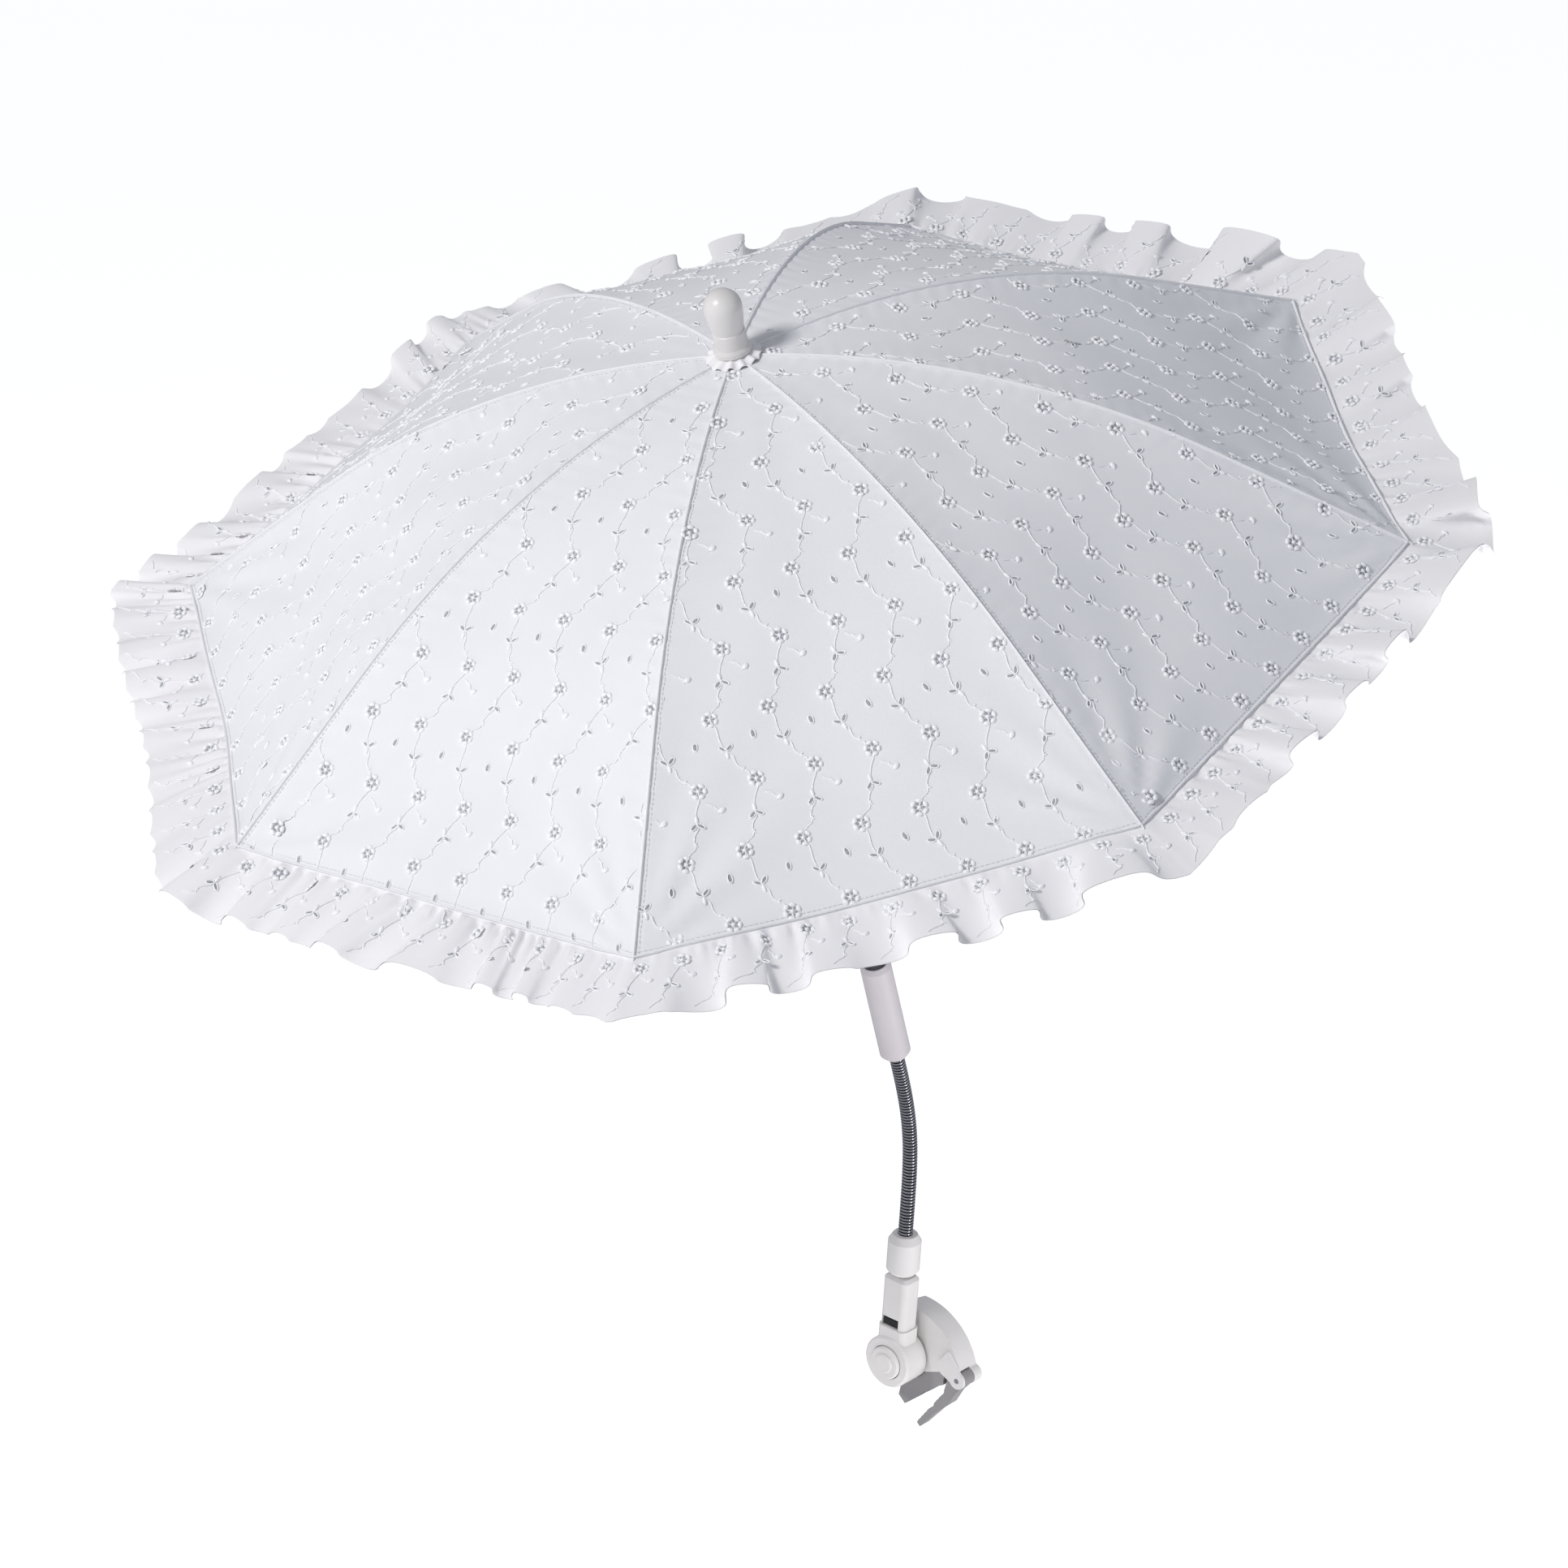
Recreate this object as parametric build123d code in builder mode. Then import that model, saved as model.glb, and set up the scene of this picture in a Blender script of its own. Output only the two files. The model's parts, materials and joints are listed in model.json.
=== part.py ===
"""Clip-on lace parasol: an eight-rib canopy on a bendable neck, held by a clip for a tube frame.

Millimetres, +Z up.  The origin is the middle of the tube seat between the clip's two jaws, and
the tube that the clip grips lies along Y.  The neck leaves the clip upwards and bends towards -Y.
"""
from build123d import *
from math import cos, degrees, radians, sin, sqrt
import os

os.makedirs("parts", exist_ok=True)

# ---------------------------------------------------------------- driving dimensions
rib_count = 8
tip_radius = 330.0  # shaft axis to rib tip, canopy open
dome_height = 129.4  # rib-tip plane to the top of the cloth
dome_arc_radius = 441.0  # crown of the dome, up to the shoulder
shoulder_angle = 33.0  # where a rib stops curving and runs straight to its tip
rib_phase = -64.0  # direction of rib 1 about the shaft, from +X
canopy_tilt = 17.2  # lean of the shaft towards -Y
cloth_thickness = 1.0
ruffle_width = 46.0
ruffle_thickness = 3.0
ruffle_droop = 4.0

shaft_radius = 4.0
shaft_bore = 3.2
sleeve_radius = 8.6
sleeve_top = -262.7  # heights along the shaft, from the rib-tip plane
sleeve_bottom = -326.0

rib_width = 3.0
rib_depth = 2.4
rib_drop = 4.5  # rib centre line below the top of the cloth
pivot_radius = 8.0  # ribs on the crown and stretchers on the runner
stretcher_reach = 180.0  # shaft axis to the joint of rib and stretcher
stretcher_offset = 3.0  # stretchers lie beside their ribs
stretcher_thickness = 2.2

link_count = 6
link_radius = 4.2
neck_length = 118.0
neck_gap = 1.5  # end joints of the neck stand this far out of collar and sleeve
swing_cone = 0.11  # slope of a link's end faces, a little over half of 12 degrees
ball_radius = 2.45
cup_radius = 2.65
neck_bend = [0.0, 0.05, 0.22, 0.55, 0.85, 1.0]  # share of the whole bend at each link

drum_x = -15.0
drum_z = 26.0
drum_radius = 15.5
drum_front = -22.2
drum_back = -4.5
stem_lean = 4.4  # knuckle turned about the drum, towards +X
socket_top = 53.0  # heights along the stem, from the drum's axis
collar_bottom = 54.8
collar_top = 79.0
collar_radius = 9.4

jaw_width = 8.0
seat_radius = 5.0
jaw_angle = 7.0  # each jaw's face from the line between them
hinge_x = 22.5
hinge_z = 20.0
hinge_pin_radius = 1.6


def save(piece, name):
    """Name a finished piece and write its STEP file."""
    piece.part.label = name
    export_step(piece.part, f"parts/{name}.step")


# ---------------------------------------------------------------- frames of the neck and canopy
drum_mid = (drum_front + drum_back) / 2
stem_origin = Vector(drum_x, drum_mid, drum_z)
stem_dir = Vector(sin(radians(stem_lean)), 0, cos(radians(stem_lean)))
stem_side = Vector(cos(radians(stem_lean)), 0, -sin(radians(stem_lean)))
shaft_dir = Vector(0, -sin(radians(canopy_tilt)), cos(radians(canopy_tilt)))

link_length = (neck_length - 2 * neck_gap) / link_count
link_dirs = [
    Vector(
        sin(radians(stem_lean * (1 - share))) * cos(radians(canopy_tilt * share)),
        -sin(radians(canopy_tilt * share)),
        cos(radians(stem_lean * (1 - share))) * cos(radians(canopy_tilt * share)),
    )
    for share in neck_bend
]
neck_joints = [stem_origin + stem_dir * (collar_top + neck_gap)]
for link_dir in link_dirs:
    neck_joints.append(neck_joints[-1] + link_dir * link_length)
canopy_origin = neck_joints[-1] + shaft_dir * (neck_gap - sleeve_bottom)


def turning_plane(origin, axis_dir, side=Vector(1, 0, 0)):
    """Plane whose local Y runs along an axis, so that its local X is a radius."""
    across = (side - axis_dir * side.dot(axis_dir)).normalized()
    return Plane(origin=origin, x_dir=across, z_dir=across.cross(axis_dir))


def radial_plane(angle):
    """Plane through the shaft axis: local X outwards at an angle, local Y up the shaft."""
    turn = radians(angle)
    over = shaft_dir.cross(Vector(1, 0, 0))
    out = Vector(1, 0, 0) * cos(turn) + over * sin(turn)
    return Plane(origin=canopy_origin, x_dir=out, z_dir=out.cross(shaft_dir))


def rib_angle(index):
    return rib_phase + index * 360 / rib_count


def turned(name, plane, outline):
    """Revolve a closed outline of (radius, height) points about a plane's local Y."""
    with BuildPart() as piece:
        with BuildSketch(plane):
            with BuildLine():
                Polyline(*outline, close=True)
            make_face()
        revolve(axis=Axis(plane.origin, plane.y_dir))
    save(piece, name)


def dome_z(radius, drop=0.0):
    """Height of the dome's seam line, or of a line that far inside it, at a radius."""
    arc = dome_arc_radius - drop
    edge = arc * sin(radians(shoulder_angle))
    centre = dome_height - dome_arc_radius
    if radius <= edge:
        return centre + sqrt(arc**2 - radius**2)
    slope = sin(radians(shoulder_angle)) / cos(radians(shoulder_angle))
    return centre + sqrt(arc**2 - edge**2) - (radius - edge) * slope


crown_pivot = (pivot_radius, dome_z(pivot_radius, rib_drop))
rib_pivot = (stretcher_reach, dome_z(stretcher_reach, rib_drop))
runner_pivot = (pivot_radius, 2 * rib_pivot[1] - crown_pivot[1])
rib_end = (tip_radius - 4, dome_z(tip_radius - 4, rib_drop))

shaft_plane = turning_plane(canopy_origin, shaft_dir)
stem_plane = turning_plane(stem_origin, stem_dir)
stem_level = Plane(origin=stem_origin, x_dir=stem_side, z_dir=stem_dir)


# ---------------------------------------------------------------- clip: jaws and body
def jaw_point(along, out, side):
    """Point of a jaw's outline: along the mouth, out from its middle line, side +1 for the
    upper jaw and -1 for the lower one."""
    reach = sin(radians(45))
    throat = 13.5 * reach
    return (
        throat - along * reach - side * out * reach,
        throat - along * reach + side * out * reach,
    )


def jaw_gap(along):
    return 2.5 + along * sin(radians(jaw_angle)) / cos(radians(jaw_angle))


def jaw_teeth(side):
    """Face of a jaw from the throat to the tip, with teeth either side of the tube seat."""
    face = []
    for tooth in range(8):
        start = 1.5 + tooth * 3.5
        face.append(jaw_point(start, jaw_gap(start), side))
        face.append(jaw_point(start + 2.6, jaw_gap(start) + 0.1, side))
        face.append(jaw_point(start + 3.0, jaw_gap(start) + 1.2, side))
    return face


body_front = -4.1
body_back = 11.9
ear_front = -6.1
arm_radius = 39.5
arm_centre_z = 16.0

with BuildPart() as clip_body:
    with BuildSketch(Plane.XZ.offset(-body_front)):
        with Locations((drum_x, drum_z)):
            Circle(drum_radius)
        with BuildLine():
            arm = CenterArc((drum_x, arm_centre_z), arm_radius, 14, 74)
            Polyline(arm @ 1, (-20, 52), (-28, 34), (-22, 14), (-1, 17.5), (14, 22.2), (22, 16),
                     (27.3, 19), arm @ 0)
        make_face()
        with Locations((hinge_x, hinge_z)):
            Circle(5)
    extrude(amount=body_front - body_back)
    with BuildSketch(Plane.XZ.offset(-ear_front)):
        with Locations((hinge_x, hinge_z)):
            Circle(5)
        Polygon((9, 27.5), (16, 36), (22, 28), (27, 21.5), (18, 18), (11, 21.5), align=None)
    extrude(amount=ear_front - body_front)
    chamfer(clip_body.faces().sort_by(Axis.Y)[-1].edges(), 1.2)
    with BuildSketch(Plane.XZ.offset(4.3)):
        with Locations((hinge_x, hinge_z)):
            Circle(5.6)
        Polygon((18, 26), (8, 14), (14, 4), (30, 12), align=None)
    extrude(amount=-8.6, mode=Mode.SUBTRACT)
    with BuildSketch(Plane.XZ.offset(-drum_back + 5.3)):
        with Locations((drum_x, drum_z)):
            Circle(7.3)
    extrude(amount=-6)
    with BuildSketch(Plane.XZ.offset(10)):
        with Locations((drum_x, drum_z)):
            Circle(2.8)
    extrude(amount=-18, mode=Mode.SUBTRACT)
    with BuildSketch(Plane.XZ.offset(10)):
        with Locations((hinge_x, hinge_z)):
            Circle(hinge_pin_radius)
    extrude(amount=-17.6, mode=Mode.SUBTRACT)
save(clip_body, "clip_body")

with BuildPart() as upper_grip:
    with BuildSketch(Plane.XZ.offset(jaw_width / 2)):
        with BuildLine():
            Polyline(*jaw_teeth(1), jaw_point(30, jaw_gap(30), 1), jaw_point(30, 12.5, 1),
                     (-19, 3), (-9, 11.5), (-1, 17.3), (12.6, 21.4), (11.5, 16), (11.6, 13.4),
                     jaw_point(0, 2.5, 1), close=True)
        make_face()
        with Locations((0, 0)):
            Circle(seat_radius, mode=Mode.SUBTRACT)
        with Locations(jaw_point(0, 0, 1)):
            Circle(2.6, mode=Mode.SUBTRACT)
        with Locations((drum_x, drum_z)):
            Circle(drum_radius + 0.4, mode=Mode.SUBTRACT)
    extrude(amount=-jaw_width)
save(upper_grip, "upper_grip")

with BuildPart() as lower_jaw:
    with BuildSketch(Plane.XZ.offset(jaw_width / 2)):
        with BuildLine():
            Polyline(*jaw_teeth(-1), jaw_point(30, jaw_gap(30), -1), jaw_point(30, 9.4, -1),
                     jaw_point(12, 8.6, -1), jaw_point(2, 9.4, -1), (20.5, 11), (26, 17),
                     (20, 24), (15, 19.5), (13, 13), jaw_point(0, 2.5, -1), close=True)
        make_face()
        with Locations((hinge_x, hinge_z)):
            Circle(4.8)
        with Locations((0, 0)):
            Circle(seat_radius, mode=Mode.SUBTRACT)
        with Locations(jaw_point(0, 0, -1)):
            Circle(2.6, mode=Mode.SUBTRACT)
        with Locations((hinge_x, hinge_z)):
            Circle(hinge_pin_radius + 0.05, mode=Mode.SUBTRACT)
    extrude(amount=-jaw_width)
    with BuildSketch(Plane.XZ.offset(-2)):
        with Locations((hinge_x, hinge_z)):
            Circle(4.2)
    extrude(amount=-3, mode=Mode.SUBTRACT)
save(lower_jaw, "lower_jaw")

with BuildPart() as jaw_pin:
    with BuildSketch(Plane.XZ.offset(-ear_front)):
        with Locations((hinge_x, hinge_z)):
            Circle(hinge_pin_radius)
    extrude(amount=ear_front - 7.5)
save(jaw_pin, "jaw_pin")


def coil_spring(name, radius, wire, pitch, start, height):
    """Round-wire spring whose axis runs along Y."""
    with BuildPart() as spring:
        with BuildLine() as coil:
            Helix(pitch=pitch, height=height, radius=radius, center=start, direction=(0, 1, 0))
        with BuildSketch(Plane(origin=coil.line @ 0, z_dir=coil.line % 0)):
            Circle(wire)
        sweep(is_frenet=True)
    save(spring, name)


coil_spring("jaw_spring", 2.9, 0.4, 0.95, (hinge_x, 2.6, hinge_z), 1.3)

# ---------------------------------------------------------------- knuckle that tilts on the clip
with BuildPart() as tilt_axle:
    with BuildSketch(Plane.XZ.offset(13.6)):
        with Locations((drum_x, drum_z)):
            Circle(5.5)
    extrude(amount=-1.1)
    with BuildSketch(Plane.XZ.offset(12.5)):
        with Locations((drum_x, drum_z)):
            Circle(2.8)
    extrude(amount=-18.5)
save(tilt_axle, "tilt_axle")

socket_width = 17.5
socket_depth = 14.0
spigot_radius = 5.0
with BuildPart() as knuckle:
    with BuildSketch(Plane.XZ.offset(-drum_front)):
        with Locations((drum_x, drum_z)):
            Circle(drum_radius)
    extrude(amount=drum_front - drum_back)
    chamfer(knuckle.edges().filter_by(GeomType.CIRCLE), 1.3)
    with BuildSketch(stem_level.offset(6)):
        RectangleRounded(socket_width + 2, socket_depth + 1, 4)
    extrude(amount=15)
    with BuildSketch(stem_level.offset(20)):
        RectangleRounded(socket_width, socket_depth, 4)
    extrude(amount=socket_top - 20)
    chamfer(knuckle.faces().sort_by(Axis.Z)[-1].edges(), 1.8)
    with BuildSketch(stem_level.offset(socket_top + 1)):
        Circle(spigot_radius + 0.2)
    extrude(amount=-27, mode=Mode.SUBTRACT)
    with BuildSketch(stem_level.offset(21.5)):
        with Locations((-0.8, -5)):
            Rectangle(11.5, 6)
    extrude(amount=6, mode=Mode.SUBTRACT)
    with BuildSketch(Plane.XZ.offset(-drum_front)):
        with Locations((drum_x, drum_z)):
            Circle(10.2)
    extrude(amount=-6, mode=Mode.SUBTRACT)
    with BuildSketch(Plane.XZ.offset(16.2)):
        with Locations((drum_x, drum_z)):
            Circle(7.6)
    extrude(amount=-4, mode=Mode.SUBTRACT)
    with BuildSketch(Plane.XZ.offset(12.3)):
        with Locations((drum_x, drum_z)):
            Circle(2.85)
    extrude(amount=-3, mode=Mode.SUBTRACT)
    with BuildSketch(Plane.XZ.offset(10.2)):
        with Locations((drum_x, drum_z)):
            Circle(7.6)
    extrude(amount=-6, mode=Mode.SUBTRACT)
save(knuckle, "knuckle")

with BuildPart() as push_button:
    with BuildSketch(Plane.XZ.offset(24.2)):
        with Locations((drum_x, drum_z)):
            Circle(9.8)
    extrude(amount=-4.4)
    chamfer(push_button.edges().sort_by(Axis.Y)[0], 1.0)
    with BuildSketch(Plane.XZ.offset(25.6)):
        with Locations((drum_x, drum_z)):
            Circle(6)
    extrude(amount=-2)
    fillet(push_button.edges().sort_by(Axis.Y)[0], 1.2)
    with BuildSketch(Plane.XZ.offset(20)):
        with Locations((drum_x, drum_z)):
            Circle(4.6)
    extrude(amount=-2.6)
save(push_button, "push_button")

coil_spring("button_spring", 6.6, 0.45, 1.6, (drum_x, -19.2, drum_z), 6.4)

with BuildPart() as stem_latch:
    with BuildSketch(stem_level.offset(21.8)):
        with Locations((-0.8, -4.4)):
            Rectangle(10.7, 2.6)
    extrude(amount=3.9)
save(stem_latch, "stem_latch")

# ---------------------------------------------------------------- collar and bendable neck
turned("lower_collar", stem_plane, [
    (0, 27.5), (spigot_radius, 27.5), (spigot_radius, collar_bottom), (7.4, collar_bottom),
    (collar_radius, collar_bottom + 2.4), (collar_radius, collar_top - 4),
    (7.0, collar_top), (link_radius, collar_top), (link_radius, collar_top - 9),
    (0, collar_top - 9),
])


def neck_piece(name, plane, length, cup, ball, foot=0.0):
    """Length of ribbed neck: a cup takes the ball of the piece below, a ball enters the cup of
    the piece above.  Its two end faces are cones, so neighbours swing without touching."""
    with BuildPart() as piece:
        with BuildSketch(plane):
            with BuildLine():
                if cup:
                    mouth = 0.1 + swing_cone * cup_radius
                    cup_edge = (sqrt(cup_radius**2 - mouth**2), mouth)
                    inner = RadiusArc((0, cup_radius), cup_edge, cup_radius)
                    low = Polyline(inner @ 1, (link_radius, 0.1 + swing_cone * link_radius))
                else:
                    inner = Line((0, foot), (0.5, foot))
                    low = Polyline(inner @ 1, (link_radius, foot))
                if ball:
                    shelf = length - 0.1 - swing_cone * ball_radius
                    rise = Polyline(low @ 1, (link_radius, length - 0.1 - swing_cone * link_radius),
                                    (ball_radius, shelf), (ball_radius, length))
                    cap = RadiusArc(rise @ 1, (0, length + ball_radius), -ball_radius)
                    Line(cap @ 1, inner @ 0)
                else:
                    Polyline(low @ 1, (link_radius, length), (0, length), inner @ 0)
            make_face()
        revolve(axis=Axis(plane.origin, plane.y_dir))
    save(piece, name)


neck_piece("neck_root", turning_plane(neck_joints[0], stem_dir), 0, False, True,
           foot=-neck_gap - 9)
for i in range(link_count):
    neck_piece(f"neck_link_{i + 1}", turning_plane(neck_joints[i], link_dirs[i]), link_length,
               True, True)
neck_piece("neck_end", turning_plane(neck_joints[-1], shaft_dir), neck_gap + 10, True, False)

# ---------------------------------------------------------------- shaft, sleeve, ferrule, crown
turned("sleeve", shaft_plane, [
    (link_radius, sleeve_bottom), (6.6, sleeve_bottom), (sleeve_radius, sleeve_bottom + 2.5),
    (sleeve_radius, sleeve_top - 2.5), (7.4, sleeve_top), (6.4, sleeve_top),
    (6.4, sleeve_top - 22), (shaft_radius, sleeve_top - 26), (shaft_radius, sleeve_bottom + 12),
    (link_radius, sleeve_bottom + 10),
])

catch_angle = rib_phase + 180 / rib_count
ferrule_base = dome_height + 3.8
with BuildPart() as shaft:
    with BuildSketch(shaft_plane):
        with Locations((shaft_radius, sleeve_bottom + 12)):
            Rectangle(shaft_radius - shaft_bore, ferrule_base + 7 - sleeve_bottom - 12,
                      align=(Align.MAX, Align.MIN))
    revolve(axis=Axis(canopy_origin, shaft_dir))
    with BuildSketch(radial_plane(catch_angle).offset(-1.6)):
        with Locations((2.5, 1.5)):
            Rectangle(4, 16.7, align=(Align.MIN, Align.MIN))
    extrude(amount=3.2, mode=Mode.SUBTRACT)
save(shaft, "shaft")

with BuildPart() as catch_spring:
    with BuildSketch(radial_plane(catch_angle).offset(-1.2)):
        with BuildLine():
            Polyline((2.5, -16), (2.5, 3.5), (5.2, 15.6), (2.6, 17.2))
        trace(line_width=0.5)
    extrude(amount=2.4)
save(catch_spring, "catch_spring")

with BuildPart() as crown:
    with BuildSketch(shaft_plane):
        with Locations((shaft_radius, crown_pivot[1] - 5.3)):
            Rectangle(11.5 - shaft_radius, 8.7, align=(Align.MIN, Align.MIN))
    revolve(axis=Axis(canopy_origin, shaft_dir))
    for i in range(rib_count):
        with BuildSketch(radial_plane(rib_angle(i)).offset(-1.85)):
            with Locations((5.5, crown_pivot[1] - 6)):
                Rectangle(8, 8.6, align=(Align.MIN, Align.MIN))
        extrude(amount=3.7, mode=Mode.SUBTRACT)
    with BuildSketch(shaft_plane):
        with Locations(crown_pivot):
            Circle(0.55)
    revolve(axis=Axis(canopy_origin, shaft_dir), mode=Mode.SUBTRACT)
save(crown, "crown")


def wire_ring(name, radius, height):
    """Wire that threads the eyes of all ribs or all stretchers."""
    with BuildPart() as ring:
        with BuildSketch(shaft_plane):
            with Locations((radius, height)):
                Circle(0.5)
        revolve(axis=Axis(canopy_origin, shaft_dir))
    save(ring, name)


wire_ring("crown_wire", pivot_radius, crown_pivot[1])

turned("rosette", shaft_plane, [
    (shaft_radius, dome_height + 0.9), (13.5, dome_height + 0.9), (13.0, dome_height + 2.2),
    (9.0, ferrule_base), (shaft_radius, ferrule_base),
])

with BuildPart() as ferrule:
    with BuildSketch(shaft_plane):
        with BuildLine():
            skirt = Polyline((0, ferrule_base + 7), (shaft_radius, ferrule_base + 7),
                             (shaft_radius, ferrule_base), (9.8, ferrule_base),
                             (9.8, ferrule_base + 2.2), (8.8, ferrule_base + 4),
                             (8.6, ferrule_base + 12), (8.1, ferrule_base + 12.4))
            flare = ThreePointArc(skirt @ 1, (9.1, ferrule_base + 17.2), (10, ferrule_base + 25.8))
            cap = RadiusArc(flare @ 1, (0, ferrule_base + 35.8), -10)
            Line(cap @ 1, skirt @ 0)
        make_face()
    revolve(axis=Axis(canopy_origin, shaft_dir))
save(ferrule, "ferrule")

# ---------------------------------------------------------------- runner
wire_radius = sqrt(pivot_radius**2 + stretcher_offset**2)
with BuildPart() as runner:
    with BuildSketch(shaft_plane):
        with BuildLine():
            Polyline((4.25, 18.2), (8.6, 18.2), (9.2, 19.4), (9.2, 21.2), (8.6, 22.4), (7, 23.6),
                     (7, 41), (9, runner_pivot[1] - 4), (12, runner_pivot[1] - 4),
                     (12, runner_pivot[1] + 4), (4.25, runner_pivot[1] + 4), close=True)
        make_face()
    revolve(axis=Axis(canopy_origin, shaft_dir))
    for i in range(rib_count):
        with BuildSketch(radial_plane(rib_angle(i)).offset(-1.6)):
            with Locations((5.7, runner_pivot[1] - 2.5)):
                Rectangle(8, 8, align=(Align.MIN, Align.MIN))
        extrude(amount=-2.8, mode=Mode.SUBTRACT)
    with BuildSketch(shaft_plane):
        with Locations((wire_radius, runner_pivot[1])):
            Circle(0.55)
    revolve(axis=Axis(canopy_origin, shaft_dir), mode=Mode.SUBTRACT)
save(runner, "runner")

wire_ring("runner_wire", wire_radius, runner_pivot[1])

# ---------------------------------------------------------------- ribs, tips and stretchers
arc_centre = (0, dome_height - dome_arc_radius)
rib_arc = dome_arc_radius - rib_drop
hub_sweep = degrees(pivot_radius / rib_arc)
for i in range(rib_count):
    flat = radial_plane(rib_angle(i))
    with BuildPart() as rib:
        with BuildSketch(flat.offset(-rib_width / 2)):
            with BuildLine():
                bow = CenterArc(arc_centre, rib_arc, 90 - shoulder_angle,
                                shoulder_angle - hub_sweep)
                Line(rib_end, bow @ 0)
            trace(line_width=rib_depth)
            with Locations(crown_pivot):
                Circle(2.2)
            with Locations(crown_pivot):
                Circle(1.0, mode=Mode.SUBTRACT)
        extrude(amount=rib_width)
        with BuildSketch(flat):
            with Locations(rib_pivot):
                Circle(0.9)
        extrude(amount=-4.4)
        with BuildSketch(flat.offset(-4.3)):
            with Locations(rib_pivot):
                Circle(1.7)
        extrude(amount=-0.7)
    save(rib, f"rib_{i + 1}")

    outward = flat.x_dir * cos(radians(shoulder_angle)) - flat.y_dir * sin(radians(shoulder_angle))
    tip_seat = Plane(origin=flat.from_local_coords((*rib_end, 0)), x_dir=flat.z_dir, z_dir=outward)
    with BuildPart(tip_seat) as rib_tip:
        with Locations((0, 0, 1.0)):
            Sphere(2.4)
        with BuildSketch(tip_seat.offset(-6)):
            Rectangle(rib_width, rib_depth)
        extrude(amount=6, mode=Mode.SUBTRACT)
    save(rib_tip, f"rib_tip_{i + 1}")

    with BuildPart() as stretcher:
        with BuildSketch(flat.offset(-stretcher_offset + stretcher_thickness / 2)):
            with BuildLine():
                Line(runner_pivot, rib_pivot)
            trace(line_width=3)
            with Locations(runner_pivot, rib_pivot):
                Circle(2.0)
            with Locations(runner_pivot, rib_pivot):
                Circle(1.05, mode=Mode.SUBTRACT)
        extrude(amount=-stretcher_thickness)
    save(stretcher, f"stretcher_{i + 1}")

# ---------------------------------------------------------------- cloth: one sector on each rib
half_gore = 180 / rib_count
narrow = cos(radians(half_gore))
shoulder = dome_arc_radius * sin(radians(shoulder_angle))
for i in range(rib_count):
    seam_plane = Plane(origin=canopy_origin,
                       z_dir=-radial_plane(rib_angle(i)).z_dir,
                       x_dir=shaft_dir)
    with BuildPart() as cloth:
        with BuildSketch(radial_plane(rib_angle(i) + half_gore).offset(0.2)):
            with BuildLine():
                dome = ThreePointArc((6, dome_z(6 / narrow)),
                                     (shoulder / 2 * narrow, dome_z(shoulder / 2)),
                                     (shoulder * narrow, dome_z(shoulder)))
                Line(dome @ 1, (tip_radius * narrow, 0))
            trace(line_width=cloth_thickness)
            with BuildLine():
                Line((tip_radius * narrow - 1, 0),
                     (tip_radius * narrow + ruffle_width, -ruffle_droop))
            trace(line_width=ruffle_thickness)
        extrude(amount=170)
        split(bisect_by=seam_plane, keep=Keep.TOP)
        mirror(about=seam_plane)
    save(cloth, f"canopy_{i + 1}")
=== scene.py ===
"""A frilled lace parasol on a bendable neck, with the clip that holds it to a tube."""
import json
import math

import bpy
import numpy as np
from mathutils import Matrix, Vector

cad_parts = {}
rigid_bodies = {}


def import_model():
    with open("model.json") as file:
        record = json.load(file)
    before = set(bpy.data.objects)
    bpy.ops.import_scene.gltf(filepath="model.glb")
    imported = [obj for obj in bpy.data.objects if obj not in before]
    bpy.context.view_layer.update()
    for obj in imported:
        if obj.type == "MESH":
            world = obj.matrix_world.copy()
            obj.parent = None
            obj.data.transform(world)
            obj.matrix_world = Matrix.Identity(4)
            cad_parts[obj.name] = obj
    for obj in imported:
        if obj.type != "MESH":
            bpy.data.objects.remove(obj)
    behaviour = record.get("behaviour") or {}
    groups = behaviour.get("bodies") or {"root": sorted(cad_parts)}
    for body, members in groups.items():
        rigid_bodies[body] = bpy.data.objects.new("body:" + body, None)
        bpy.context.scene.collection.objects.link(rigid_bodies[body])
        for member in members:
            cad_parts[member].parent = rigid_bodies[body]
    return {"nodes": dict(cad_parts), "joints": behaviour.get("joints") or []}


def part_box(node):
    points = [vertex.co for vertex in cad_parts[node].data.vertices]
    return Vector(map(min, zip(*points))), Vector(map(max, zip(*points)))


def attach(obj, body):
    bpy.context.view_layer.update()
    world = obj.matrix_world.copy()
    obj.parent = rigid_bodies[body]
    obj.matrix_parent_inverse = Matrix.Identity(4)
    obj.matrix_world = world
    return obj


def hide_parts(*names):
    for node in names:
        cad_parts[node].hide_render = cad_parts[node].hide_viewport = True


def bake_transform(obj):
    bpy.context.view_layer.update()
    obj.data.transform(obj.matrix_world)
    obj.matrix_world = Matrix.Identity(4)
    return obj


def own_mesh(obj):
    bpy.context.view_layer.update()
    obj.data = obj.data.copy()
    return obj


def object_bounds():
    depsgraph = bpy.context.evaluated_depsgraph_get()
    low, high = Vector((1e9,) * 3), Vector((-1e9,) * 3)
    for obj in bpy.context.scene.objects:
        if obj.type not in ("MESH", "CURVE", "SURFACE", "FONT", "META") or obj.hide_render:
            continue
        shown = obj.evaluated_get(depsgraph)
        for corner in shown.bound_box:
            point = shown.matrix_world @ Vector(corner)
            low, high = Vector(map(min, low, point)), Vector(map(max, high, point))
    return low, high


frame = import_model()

cad_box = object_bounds()

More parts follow.
